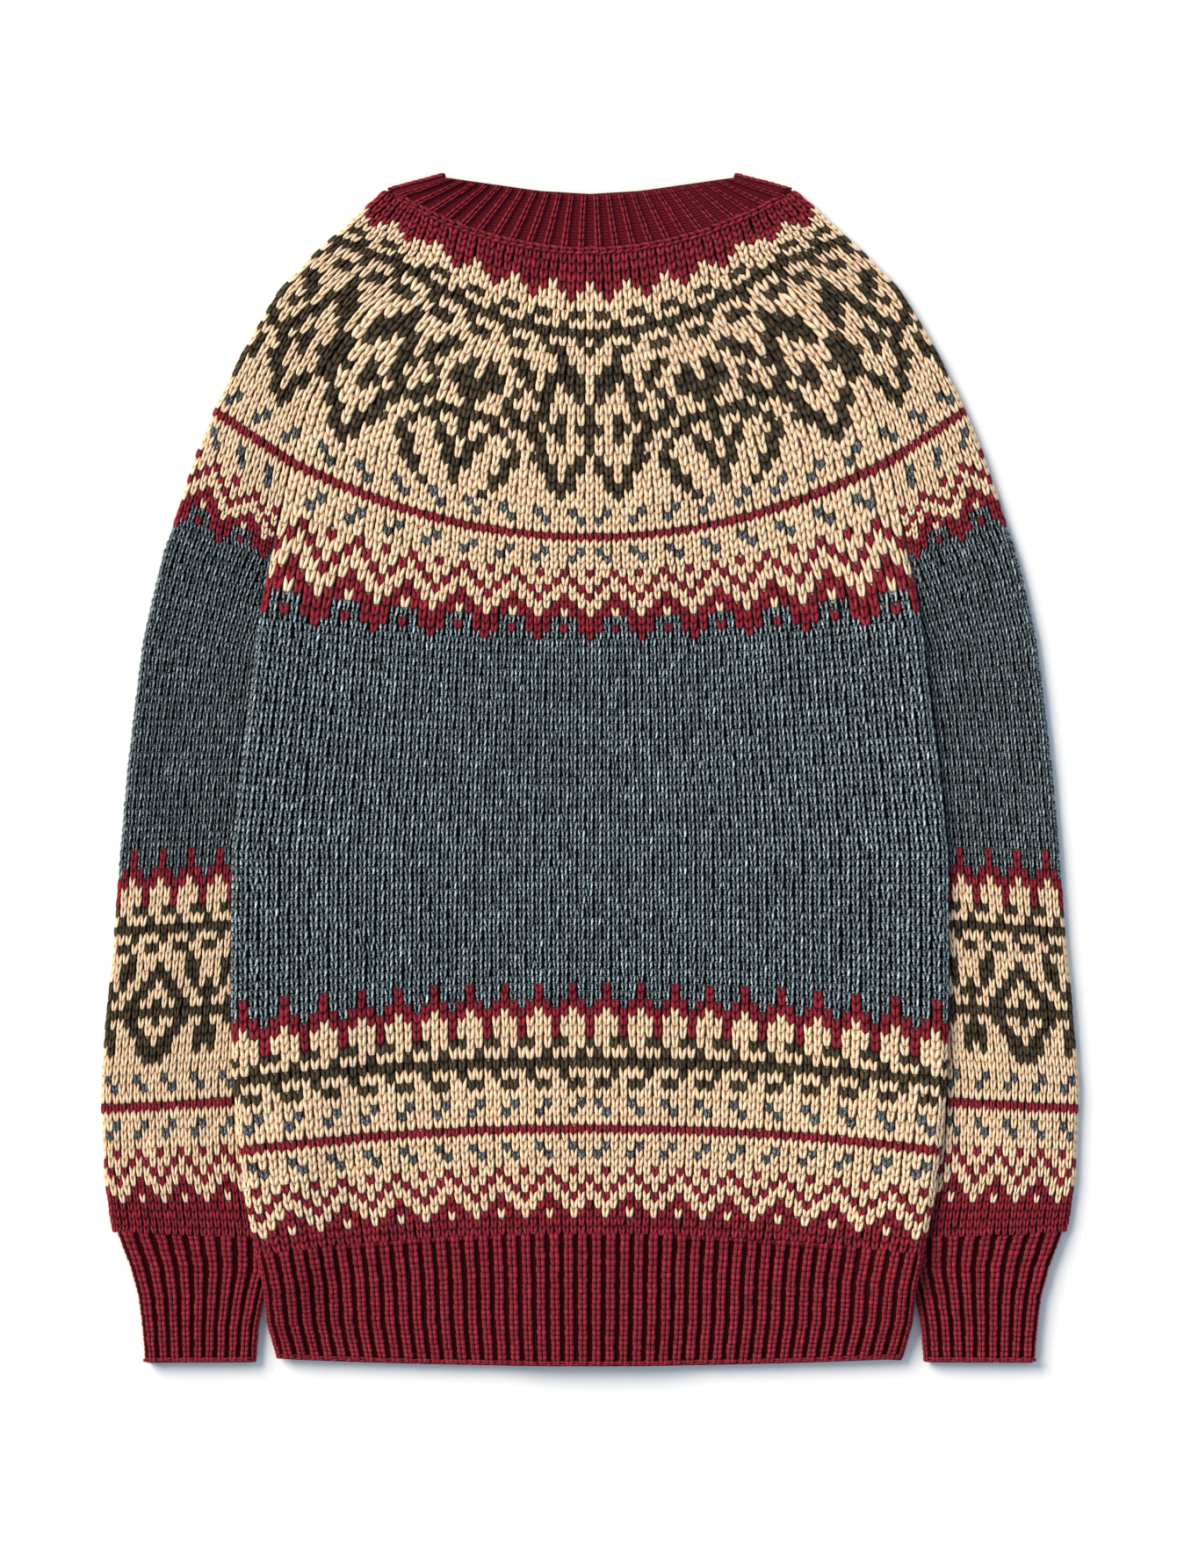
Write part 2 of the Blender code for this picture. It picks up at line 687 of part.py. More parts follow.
def press_dimples(band, cutters):
    """Presses a dimple into the outer face of the buttonhole band over each button."""
    radius = BUTTON_RADIUS + BUTTON_CLEARANCE
    depth = BUTTON_THICKNESS + BUTTON_CLEARANCE
    for index, y in enumerate(button_places()):
        name = f"dimple_cutter_{index + 1}"
        cutter = bpy.data.objects.new(name, disc(name, radius, -CUTTER_OVERRUN, depth, y, 0.0))
        cutter.hide_render = True
        cutter.display_type = "WIRE"
        cutters.objects.link(cutter)
        dimple = band.modifiers.new(name, "BOOLEAN")
        dimple.operation = "DIFFERENCE"
        dimple.solver = "EXACT"
        dimple.object = cutter


def build_buttons(finish, collection):
    for index, y in enumerate(button_places()):
        name = f"button_{index + 1}"
        mesh = disc(name, BUTTON_RADIUS, 0.0, BUTTON_THICKNESS, y, BUTTON_ROUNDING)
        add_object(name, mesh, finish, collection)


# ---------------------------------------------------------------- the whole cardigan


def material(name, colour, roughness):
    made = bpy.data.materials.new(name)
    made.use_nodes = True
    shader = made.node_tree.nodes["Principled BSDF"]
    shader.inputs["Base Color"].default_value = (*colour, 1.0)
    shader.inputs["Roughness"].default_value = roughness
    shader.inputs["Metallic"].default_value = 0.0
    return made


def add_object(name, mesh, finish, collection):
    made = bpy.data.objects.new(name, mesh)
    mesh.materials.append(finish)
    collection.objects.link(made)
    return made


def new_collection(name):
    made = bpy.data.collections.new(name)
    bpy.context.scene.collection.children.link(made)
    return made


def main():
    for old in list(bpy.data.objects):
        bpy.data.objects.remove(old)
    cardigan = new_collection("fair_isle_cardigan")
    cutters = new_collection("cutters")

    build_back(material("back_knit", SLATE, KNIT_ROUGHNESS), cardigan)
    build_hem_back(material("hem_back_rib", CRIMSON, KNIT_ROUGHNESS), cardigan)
    for hand, side in (("left", -1.0), ("right", 1.0)):
        front_finish = material(f"front_{hand}_knit", SLATE, KNIT_ROUGHNESS)
        build_front(f"front_{hand}", side, front_finish, cardigan)
        hem_finish = material(f"hem_front_{hand}_rib", CRIMSON, KNIT_ROUGHNESS)
        build_hem_front(f"hem_rib_front_{hand}", side, hem_finish, cardigan)
        sleeve_finish = material(f"sleeve_{hand}_knit", TAN, KNIT_ROUGHNESS)
        build_sleeve(f"sleeve_{hand}", side, sleeve_finish, cardigan)
        cuff_finish = material(f"cuff_{hand}_rib", CRIMSON, KNIT_ROUGHNESS)
        build_cuff(f"cuff_{hand}", side, cuff_finish, cardigan)
    build_neckband(material("neck_rib", CRIMSON, KNIT_ROUGHNESS), cardigan)

    lower_finish = material("buttonhole_band_rib", CRIMSON, KNIT_ROUGHNESS)
    lower = build_band("buttonhole_band", 0.0, BUTTONHOLE_BAND_WALL, lower_finish, cardigan)
    press_dimples(lower, cutters)
    upper_finish = material("button_band_rib", CRIMSON, KNIT_ROUGHNESS)
    build_band("button_band", BUTTON_BAND_UNDERSIDE, WALL, upper_finish, cardigan)
    build_buttons(material("button_horn", HORN, BUTTON_ROUGHNESS), cardigan)


main()
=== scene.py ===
"""Looks of a fair isle cardigan that lies face down, buttoned, with its back uppermost.

Every stitch that shows from above is a small V of wool yarn, laid on a thin shell of the same
cloth. The side that rests on the surface has its stitches in the shell's own relief. Lengths
are in millimetres until a mesh is made. Rows are counted down from the neck.
"""

import logging
import math
from dataclasses import dataclass, field
from enum import Enum
from typing import Callable, Sequence

import bmesh
import bpy
import numpy as np
from mathutils import Matrix, Vector
from mathutils.bvhtree import BVHTree


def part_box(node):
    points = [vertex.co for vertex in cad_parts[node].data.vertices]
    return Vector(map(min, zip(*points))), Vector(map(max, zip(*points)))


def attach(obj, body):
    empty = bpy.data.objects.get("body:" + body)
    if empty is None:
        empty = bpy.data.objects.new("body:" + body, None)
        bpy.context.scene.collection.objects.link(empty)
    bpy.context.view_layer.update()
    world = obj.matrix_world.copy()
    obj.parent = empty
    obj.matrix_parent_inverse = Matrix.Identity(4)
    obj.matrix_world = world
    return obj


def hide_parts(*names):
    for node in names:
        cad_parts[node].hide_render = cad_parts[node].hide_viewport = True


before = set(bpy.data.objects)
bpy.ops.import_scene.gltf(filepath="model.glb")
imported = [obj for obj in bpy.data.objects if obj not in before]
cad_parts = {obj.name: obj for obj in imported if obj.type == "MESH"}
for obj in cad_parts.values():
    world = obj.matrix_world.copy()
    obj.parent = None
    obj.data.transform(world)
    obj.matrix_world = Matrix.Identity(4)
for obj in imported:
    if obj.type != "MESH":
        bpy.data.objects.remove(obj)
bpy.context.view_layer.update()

LOG = logging.getLogger("cardigan")
MM = 0.001
SIDES = (("left", -1.0), ("right", 1.0))

FLIP = np.array([-1.0, 1.0, 1.0])

# The outer radius of each fold in the cloth, and the height of the middle between its layers
FOLD = 3.55
MIDDLE = 3.55
# How far below or above the garment a feeler starts
FAR = 80.0
# What an eighth of a turn takes off a fold's radius
EIGHTH = 0.29
# How far up the garment the stitches of a rib, and of a bound edge, are moved
RIB_RISE = 1.2
EDGE_RISE = 1.7
# Over how much height a crease fades towards the middle between the layers
CREASE_FADE = 2.5
# How far the two front bands' edges lie from the middle
BAND_EDGE = 15.35
# The highest and the lowest place of the hem's solids
HEM_TOP = -274.5
HEM_FOOT = -352.5


# ------------------------------------------------------------------ small helpers


def table_at(table: Sequence[tuple[float, ...]], place: float) -> np.ndarray:
    """The columns after the first, read off a table between its rows.

    Args:
        table: Rows whose first column rises.
        place: Where to read, in the first column.

    Returns:
        The other columns at that place.
    """
    rows = np.array(table, float)
    columns = [np.interp(place, rows[:, 0], rows[:, index]) for index in range(1, rows.shape[1])]
    return np.array(columns)


def round_fold(count: int, turn: float = 86.0) -> np.ndarray:
    """How far inside a fold's outermost line the points lie that go round it.

    Args:
        count: How many points.
        turn: How far round they go, in degrees.

    Returns:
        The distances, from a fold's radius down to nearly nothing.
    """
    return FOLD * (1.0 - np.sin(np.radians(np.linspace(0.0, turn, count))))


def mesh_of(name: str, shape: bmesh.types.BMesh) -> bpy.types.Mesh:
    """A mesh from a shape in the making, which is then let go."""
    mesh = bpy.data.meshes.new(name)
    shape.to_mesh(mesh)
    shape.free()
    return mesh


def new_object(name: str, mesh: bpy.types.Mesh, finish: bpy.types.Material) -> bpy.types.Object:
    """A piece with one finish, linked to the scene, whose place is in its mesh."""
    piece = bpy.data.objects.new(name, mesh)
    mesh.materials.append(finish)
    bpy.context.scene.collection.objects.link(piece)
    return piece


# ------------------------------------------------------------------ yarns and charts


class Yarn(Enum):
    """The five yarns, by the letter that the charts use."""

    CRIMSON = "R"
    TAN = "T"
    OLIVE = "D"
    SLATE = "B"
    FLECK = "S"


@dataclass(frozen=True)
class Dye:
    """A yarn's colour, how unevenly it was dyed, how light the painted shade in its hollows stays,
    and its marl.
    """

    colour: tuple[float, float, float]
    uneven: float
    hollow_shade: float
    marl: float

    @property
    def plain(self) -> tuple[float, float, float]:
        """The colour that yarn and marl give together."""
        return tuple(part * (1.0 - 0.5 * self.marl) for part in self.colour)


# Each yarn: colour, unevenness, the painted shade kept in its hollows, and marl
DYES: dict[Yarn, Dye] = {
    Yarn.CRIMSON: Dye((0.275, 0.015, 0.031), 0.14, 0.38, 0.06),
    Yarn.TAN: Dye((0.930, 0.690, 0.470), 0.05, 0.62, 0.00),
    Yarn.OLIVE: Dye((0.074, 0.053, 0.029), 0.18, 0.35, 0.03),
    Yarn.SLATE: Dye((0.305, 0.385, 0.422), 0.34, 0.05, 1.00),
    Yarn.FLECK: Dye((0.080, 0.090, 0.102), 0.22, 0.20, 0.60),
}


@dataclass(frozen=True)
class Band:
    """Charted rows that repeat outwards, from a stitch near the middle or from the seam."""

    first_row: int
    rows: tuple[str, ...]
    start: int = 0
    mirrored: bool = False
    from_seam: bool = False

    def letter(self, row: int, stitch: int) -> str:
        """The yarn's letter at a row and at a count of stitches."""
        line = self.rows[row - self.first_row]
        repeat = line + line[-2:0:-1] if self.mirrored else line
        return repeat[(abs(stitch) - self.start) % len(repeat)]


@dataclass(frozen=True)
class Chart:
    """The yarns of a panel, row by row from the neck."""

    rows: int
    bands: tuple[Band, ...]
    plain_rows: tuple[int, int] = (44, 90)

    def letter(self, row: int, stitch: int, from_seam: int) -> str:
        """The yarn's letter.

        Args:
            row: Rows down from the neck.
            stitch: Stitches from the panel's middle, or from a sleeve's outer fold.
            from_seam: Stitches from the panel's seam.

        Returns:
            The letter.
        """
        for band in self.bands:
            if band.first_row <= row < band.first_row + len(band.rows):
                return band.letter(row, from_seam if band.from_seam else stitch)
        plain = self.plain_rows[0] <= row < self.plain_rows[1]
        return (Yarn.SLATE if plain else Yarn.CRIMSON).value


# Borders of four stitches, read outwards from a spike's stitch; the cuffs repeat the body's
SPIKES = ("TTRT",)
TWIG = ("TDDT", "TTTD", "DDDD", "TDTT", "DTTD")
FLECKS = ("TTTT", "TTTS", "STTT", "TTTT", "RRRR", "TTTT", "STTT", "TTTS", "TTTT")
RISING_SPIKES = ("RBBB", "RBBB", "RRBR", "TRRR", "TTRT")
# A zigzag, read from its valley to its peak
ZIGZAG = ("RTTR", "TTRT", "TRTT", "RTTR", "TTRR", "TRRT")
# A wreath of rosettes and drooping leaves on a stem, read from a rosette to the next spray;
# its repeat widens as the yoke does
WREATH_TOP = (
    "TTTDTTTTTTTT",
    "TTDDTTTDDTTT",
    "TDDDDTDDTTDT",
    "TDDTDTDTTDDT",
    "TDTTDDTDTDDD",
)
WREATH_STEM = (
    "DTTTTDTTTDTTDD",
    "DTTDTDDTDDTTTD",
    "DDTDDTDDDTDDDD",
    "DTTDTDDTTDDTTD",
    "DTTTTDTTDTTDTD",
)
WREATH_TIPS = (
    "TDTTTDDTDTTTDDT",
    "TDDTDDTTDDTTTDT",
    "TTDTDTTTTDTTTDD",
    "TTDDDTTTTDDTTTD",
    "TTTDTTTTTTDTTTD",
    "TTTTTTTTTTTDTTT",
)
CUFF_WREATH = (
    "TTTDTTTT",
    "TTDDTTTD",
    "TTDDTTDD",
    "DTDTTDDT",
    "DDTTDDTT",
    "DTTDDTTD",
    "DDDDDDDD",
    "DTTDDTTD",
    "DDTTDDTT",
    "DDTTTDDT",
    "TDTTTDDD",
    "TTTTTTDD",
)
YOKE_BANDS = (
    Band(3, ("TRRR", "TTRT", "TTTT") + TWIG),
    Band(11, WREATH_TOP, mirrored=True, from_seam=True),
    Band(16, WREATH_STEM, mirrored=True, from_seam=True),
    Band(21, WREATH_TIPS, mirrored=True, from_seam=True),
    Band(27, ("TTST", "TSTT", "TTTT", "RRRR", "TTTT", "TSTT", "TTST", "TTTT")),
    Band(35, ZIGZAG + ("RRBB", "RRBR", "RBBB"), mirrored=True),
)
BODY_CHART = Chart(118, YOKE_BANDS + (
    Band(90, RISING_SPIKES + SPIKES + TWIG + FLECKS, start=2),
    Band(110, ZIGZAG, start=2, mirrored=True),
))
SLEEVE_CHART = Chart(126, YOKE_BANDS + (
    Band(84, RISING_SPIKES + SPIKES + TWIG, start=2),
    Band(95, CUFF_WREATH, mirrored=True),
    Band(107, FLECKS, start=2),
    Band(116, ZIGZAG, start=2, mirrored=True),
), plain_rows=(44, 84))


# ------------------------------------------------------------------ finishes


# One and two waves over a row of stitches, in radians
ONE_WAVE = 6.2832
TWO_WAVES = 12.566


class Maths:
    """A socket of a material, or a number, that takes part in a sum written in Python."""

    def __init__(self, nodes: "Nodes", value: bpy.types.NodeSocket | float) -> None:
        """Keeps the socket and the material that it is in."""
        self.nodes = nodes
        self.value = value

    def math(self, operation: str, *others: "Maths | float", first: bool = True) -> "Maths":
        """Adds one Math node.

        Args:
            operation: The node's operation.
            others: The other numbers or sockets that it takes.
            first: Whether this value comes before the others.

        Returns:
            The node's result.
        """
        inputs = [self, *others] if first else [*others, self]
        values = {place: getattr(item, "value", item) for place, item in enumerate(inputs)}
        return self.nodes.add("ShaderNodeMath", {"operation": operation}, values)

    def __add__(self, other: "Maths | float") -> "Maths":
        """The sum."""
        return self.math("ADD", other)

    __radd__ = __add__

    def __mul__(self, other: "Maths | float") -> "Maths":
        """The product."""
        return self.math("MULTIPLY", other)

    __rmul__ = __mul__

    def __sub__(self, other: "Maths | float") -> "Maths":
        """The difference."""
        return self.math("SUBTRACT", other)

    def __rsub__(self, other: "Maths | float") -> "Maths":
        """The difference, the other way round."""
        return self.math("SUBTRACT", other, first=False)

    def clamped(self, low: float, high: float) -> "Maths":
        """0 below low, 1 above high, and a smooth rise between."""
        settings = {"interpolation_type": "SMOOTHSTEP"}
        return self.nodes.add("ShaderNodeMapRange", settings, {0: self.value, 1: low, 2: high})


class Nodes:
    """The node tree of one material."""

    def __init__(self, name: str) -> None:
        """Starts a material with only its shader and output."""
        self.material = bpy.data.materials.new(name)
        self.material.use_nodes = True
        self.tree = self.material.node_tree
        self.shader = self.tree.nodes["Principled BSDF"]

    def add(
        self,
        kind: str,
        settings: dict[str, object] | None = None,
        inputs: dict[int | str, object] | None = None,
        output: int | str = 0,
    ) -> Maths:
        """Adds a node, its settings first.

        Args:
            kind: The node's type.
            settings: Its properties.
            inputs: Values or links of its sockets.
            output: The socket that is wanted.

        Returns:
            That socket.
        """
        node = self.tree.nodes.new(kind)
        for key, value in (settings or {}).items():
            setattr(node, key, value)
        for key, value in (inputs or {}).items():
            self.set(node.inputs[key], value)
        return Maths(self, node.outputs[output])

    def set(self, socket: bpy.types.NodeSocket, value: object) -> None:
        """Links the socket, or gives it a value."""
        plain = value.value if isinstance(value, Maths) else value
        if isinstance(plain, bpy.types.NodeSocket):
            self.tree.links.new(plain, socket)
        else:
            socket.default_value = plain

    def attribute(self, name: str, output: str = "Fac") -> Maths:
        """An attribute of the piece."""
        return self.add("ShaderNodeAttribute", {"attribute_name": name}, output=output)

    def grey(self, value: Maths) -> Maths:
        """A grey of this value, for a Mix node."""
        return self.add("ShaderNodeCombineColor", None, {0: value, 1: value, 2: value})

    def dress(self, **inputs: object) -> None:
        """Sets the shader's sockets, named with underscores for spaces."""
        for key, value in inputs.items():
            self.set(self.shader.inputs[key.replace("_", " ")], value)

    def noise(self, scale: float, detail: float = 2.0, vector: Maths | None = None) -> Maths:
        """Noise at a number of lumps a metre, between 0 and 1."""
        place = vector or self.add("ShaderNodeTexCoord", output="Object")
        inputs = {"Vector": place, "Scale": scale, "Detail": detail}
        return self.add("ShaderNodeTexNoise", {"noise_dimensions": "3D"}, inputs)

    def mix(self, share: Maths | float, first: object, second: object, blend: str) -> Maths:
        """Mixes two colours."""
        settings = {"data_type": "RGBA", "blend_type": blend, "clamp_factor": True}
        return self.add("ShaderNodeMix", settings, {0: share, 6: first, 7: second}, output=2)

    def bump(self, height: Maths, distance: float, strength: float) -> Maths:
        """A bump of this height in metres."""
        inputs = {"Height": height, "Distance": distance, "Strength": strength}
        return self.add("ShaderNodeBump", None, inputs)

    def axis(self, place: Maths, name: str) -> Maths:
        """One number of a place: X, Y or Z."""
        return self.add("ShaderNodeSeparateXYZ", None, {0: place}, output=name)

    def dress_relief(self, height: Maths, colour: object, depth: float) -> None:
        """Dresses cloth whose stitches are relief, with painted shade in their dips.

        Args:
            height: The relief, 0 in a dip and 1 on a crest; it also sets the painted shade.
            colour: The yarn's colour.
            depth: How deep the hollows are, in metres.
        """
        fibre = self.noise(1600.0, 3.0)
        # Painted shade: the colour darkens in the dips, to 0.16 at their floor, with fibre noise
        grey = self.grey((0.16 + height * 0.84) * (0.86 + fibre * 0.28))
        self.dress(
            Base_Color=self.mix(1.0, colour, grey, "MULTIPLY"),
            Roughness=0.9,
            Specular_IOR_Level=0.06,
            Sheen_Weight=0.02,
            Normal=self.bump(height + fibre * 0.15, depth, 0.8),
        )


@dataclass(frozen=True)
class WoolYarn:
    """Soft heathered wool, whose colour and painted shade come from the piece's own attributes."""

    name: str = "wool_yarn"
    lumps: float = 850.0
    fibres: float = 3200.0
    light_fibre: tuple[float, float, float, float] = (0.78, 0.84, 0.86, 1.0)

    def material(self) -> bpy.types.Material:
        """The finish of stitches that are real yarn."""
        nodes = Nodes(self.name)
        marl = nodes.attribute("marl")
        place = nodes.add("ShaderNodeTexCoord", output="Object")
        along_yarn = nodes.add(
            "ShaderNodeMapping", None, {"Vector": place, "Scale": (1.5, 0.7, 1.0)})
        heather = nodes.noise(self.lumps, 3.0, along_yarn)
        fibre = nodes.noise(self.fibres)
        light = heather.clamped(0.50, 0.68) * marl * 0.62
        flecked = nodes.mix(light, nodes.attribute("dye_and_shade", "Color"), self.light_fibre, "MIX")
        dark = 1.0 - marl * 0.6 * (1.0 - heather.clamped(0.34, 0.48))
        # Painted shade: the shade attribute darkens each leg's hollows; the marl's dark flecks and
        # the fibres vary it
        shade = nodes.attribute("shade") * dark * (0.88 + fibre * 0.24)
        nodes.dress(
            Base_Color=nodes.mix(1.0, flecked, nodes.grey(shade), "MULTIPLY"),
            Roughness=0.9,
            Specular_IOR_Level=0.06,
            Sheen_Weight=0.04,
            Sheen_Roughness=0.6,
            Normal=nodes.bump(heather * 0.6 + fibre * 0.4, 0.0004, 0.55),
        )
        return nodes.material


@dataclass(frozen=True)
class ReliefKnit:
    """Stitches as relief, for the side that rests on the surface and for purled troughs."""

    name: str = "wool_relief"
    ribbed: bool = False
    depth: float = 0.0016

    def material(self) -> bpy.types.Material:
        """The finish, whose stitches are the squares of the piece's own map."""
        nodes = Nodes(self.name)
        place = nodes.add("ShaderNodeUVMap", {"uv_map": "stitches"})
        across, along = (nodes.axis(place, name).math("FRACT") for name in "XY")
        aside = (across - 0.5).math("ABSOLUTE")
        colour = nodes.attribute("dye_and_shade", "Color")
        if self.ribbed:
            leg = 1.0 - (aside - 0.13 - along * 0.05).math("ABSOLUTE").clamped(0.04, 0.13)
            purl = aside.clamped(0.22, 0.32) * (0.30 + 0.16 * (along * TWO_WAVES).math("SINE"))
            height = leg * (0.75 + 0.25 * (along * ONE_WAVE).math("SINE")) + purl
        else:
            leg = 1.0 - (aside - 0.11 - along * 0.24).math("ABSOLUTE").clamped(0.05, 0.19)
            foot = 1.0 - (aside - 0.1).math("ABSOLUTE").clamped(0.05, 0.17)
            over = (along - (0.60 + aside * 0.8)).clamped(-0.03, 0.03)
            height = leg * (1.0 - over) + foot * over
            colour = nodes.mix(over, colour, nodes.attribute("dye_over", "Color"), "MIX")
        nodes.dress_relief(height, colour, self.depth)
        return nodes.material


@dataclass(frozen=True)
class BandRib:
    """The rib of the front bands, whose ribs run along the opening."""

    name: str = "band_rib"
    pitch: float = 0.0043
    row: float = 0.0033
    depth: float = 0.0014

    def material(self) -> bpy.types.Material:
        """The finish, in the band's own lengths."""
        nodes = Nodes(self.name)
        place = nodes.add("ShaderNodeTexCoord", output="Object")
        across = (nodes.axis(place, "X") * (1.0 / self.pitch) + 0.5).math("FRACT")
        along = (nodes.axis(place, "Y") * (-1.0 / self.row)).math("FRACT")
        aside = (across - 0.5).math("ABSOLUTE")
        leg = 1.0 - (aside - (0.15 + along * 0.06)).math("ABSOLUTE").clamped(0.05, 0.16)
        height = leg * (0.75 + 0.25 * (along * ONE_WAVE).math("SINE"))
        # dress_relief paints shade into the rib's dips
        nodes.dress_relief(height, DYES[Yarn.CRIMSON].colour + (1.0,), self.depth)
        return nodes.material


@dataclass(frozen=True)
class Horn:
    """Dark brown horn, streaked and softly polished."""

    name: str = "button_horn"

    def material(self) -> bpy.types.Material:
        """The buttons' finish."""
        nodes = Nodes(self.name)
        place = nodes.add("ShaderNodeTexCoord", output="Object")
        stretched = nodes.add(
            "ShaderNodeMapping", None, {"Vector": place, "Scale": (1.0, 3.5, 1.0)})
        streak = nodes.noise(190.0, 5.0, stretched)
        fine = nodes.noise(1500.0, 2.0)
        share = streak.clamped(0.36, 0.68)
        nodes.dress(
            Base_Color=nodes.mix(
                share, (0.030, 0.014, 0.008, 1.0), (0.165, 0.085, 0.042, 1.0), "MIX"),
            Roughness=0.26 + fine * 0.16,
            Normal=nodes.bump(fine, 0.00012, 0.25),
        )
        return nodes.material


@dataclass(frozen=True)
class Thread:
    """The waxed thread that holds the buttons."""

    name: str = "button_thread"

    def material(self) -> bpy.types.Material:
        """The thread's finish."""
        nodes = Nodes(self.name)
        fibre = nodes.noise(5200.0, 2.0)
        nodes.dress(
            Base_Color=nodes.mix(
                fibre, (0.10, 0.010, 0.014, 1.0), (0.24, 0.026, 0.034, 1.0), "MIX"),
            Roughness=0.7,
            Normal=nodes.bump(fibre, 0.0002, 0.5),
        )
        return nodes.material


# ------------------------------------------------------------------ where the cloth lies


class Solid:
    """One CAD solid, felt from straight above or straight below."""

    def __init__(self, node: str) -> None:
        """Reads the solid's faces once."""
        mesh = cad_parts[node].data
        points = [vertex.co / MM for vertex in mesh.vertices]
        self.tree = BVHTree.FromPolygons(points, [tuple(face.vertices) for face in mesh.polygons])

    def lay(self, path: np.ndarray, from_above: bool = True) -> np.ndarray:
        """Drops a flat path on the solid.

        Args:
            path: Rows of x and y.
            from_above: Whether it falls from above, or rises from below.

        Returns:
            Rows of x, y and z; a place that misses takes its neighbour's height.
        """
        way = -1.0 if from_above else 1.0
        heights = np.full(len(path), np.nan)
        for index, (x, y) in enumerate(path):
            hit = self.tree.ray_cast(Vector((x, y, -FAR * way)), Vector((0.0, 0.0, way)))[0]
            if hit is not None:
                heights[index] = hit.z
        found = np.flatnonzero(~np.isnan(heights))
        if len(found) == 0:
            raise ValueError("a row misses its solid")
        heights = np.interp(np.arange(len(path)), found, heights[found])
        return np.column_stack([path, heights])


class Course:
    """The line between two rows of stitches, by the length along it."""

    def __init__(self, points: np.ndarray) -> None:
        """Keeps the points and how far along each lies."""
        self.points = points
        steps = np.linalg.norm(np.diff(points, axis=0), axis=1)
        self.reach = np.concatenate([[0.0], np.cumsum(steps)])

    @property
    def length(self) -> float:
        """The whole length."""
        return float(self.reach[-1])

    def mirrored(self) -> "Course":
        """The same line on the other side of the garment, from its other end."""
        return Course(self.points[::-1] * FLIP)

    def at(self, lengths: np.ndarray) -> np.ndarray:
        """The points at these lengths, and straight on beyond the ends."""
        inside = np.clip(lengths, 0.0, self.length)
        places = [np.interp(inside, self.reach, self.points[:, axis]) for axis in range(3)]
        return np.column_stack(places)

    def way(self, lengths: np.ndarray, half_step: float = 1.0) -> np.ndarray:
        """The direction along the line at these lengths."""
        ahead = np.minimum(lengths + half_step, self.length)
        behind = np.maximum(lengths - half_step, 0.0)
        run = self.at(ahead) - self.at(behind)
        return run / np.maximum(np.linalg.norm(run, axis=1, keepdims=True), 1e-9)


def unit(vectors: np.ndarray) -> np.ndarray:
    """The vectors, each one long."""
    return vectors / np.maximum(np.linalg.norm(vectors, axis=-1, keepdims=True), 1e-9)


@dataclass
class Cells:
    """Places for stitches: their corners, the ways out of the cloth, and their dyes.

    Corners and ways are indexed by stitch, left or right, upper or lower, and axis.
    """

    corners: np.ndarray
    ways: np.ndarray
    letters: list[str]

    def kept(self, chosen: np.ndarray) -> "Cells":
        """Only the chosen cells."""
        letters = [letter for letter, keep in zip(self.letters, chosen) if keep]
        return Cells(self.corners[chosen], self.ways[chosen], letters)

    def facing(self, least: float) -> np.ndarray:
        """Which cells look up by more than this, from -1 for down to 1 for up."""
        return self.ways.mean(axis=(1, 2))[:, 2] > least

    def raised(self, up: float) -> "Cells":
        """The same cells, this far up the garment."""
        return Cells(self.corners + np.array([0.0, up, 0.0]), self.ways, self.letters)

    def mirrored(self) -> "Cells":
        """The same cells on the other side of the garment."""
        return Cells(self.corners[:, ::-1] * FLIP, self.ways[:, ::-1] * FLIP, self.letters)


def cells_between(
    upper: Course, lower: Course, upper_lengths: np.ndarray, lower_lengths: np.ndarray
) -> tuple[np.ndarray, np.ndarray]:
    """The corners of the cells of one row of stitches.

    Args:
        upper: The line above the row.
        lower: The line below it.
        upper_lengths: Where the stitches' sides meet the upper line.
        lower_lengths: Where they meet the lower line.

    Returns:
        The corners, and the ways out of the cloth at them.
    """
    top, foot = upper.at(upper_lengths), lower.at(lower_lengths)
    down = unit(foot - top)
    top_out = unit(np.cross(down, upper.way(upper_lengths)))
    foot_out = unit(np.cross(down, lower.way(lower_lengths)))
    sides = np.stack([top, foot], axis=1)
    out = np.stack([top_out, foot_out], axis=1)
    corners = np.stack([sides[:-1], sides[1:]], axis=1)
    ways = np.stack([out[:-1], out[1:]], axis=1)
    return corners, ways


# ------------------------------------------------------------------ creases


@dataclass(frozen=True)
class Crease:
    """A soft trough along a short line, or a ridge where its depth is below zero."""

    start: tuple[float, float]
    end: tuple[float, float]
    depth: float
    half_width: float

    def fall(self, places: np.ndarray) -> np.ndarray:
        """How far the cloth falls at each place."""
        start, run = np.array(self.start), np.array(self.end) - np.array(self.start)
        length = float(np.hypot(*run))
        away = places - start
        along = (away @ run) / length**2
        aside = (away[:, 0] * run[1] - away[:, 1] * run[0]) / length
        taper = np.sin(math.pi * np.clip(along, 0.0, 1.0)) ** 0.8
        return self.depth * taper * np.exp(-((aside / self.half_width) ** 2))


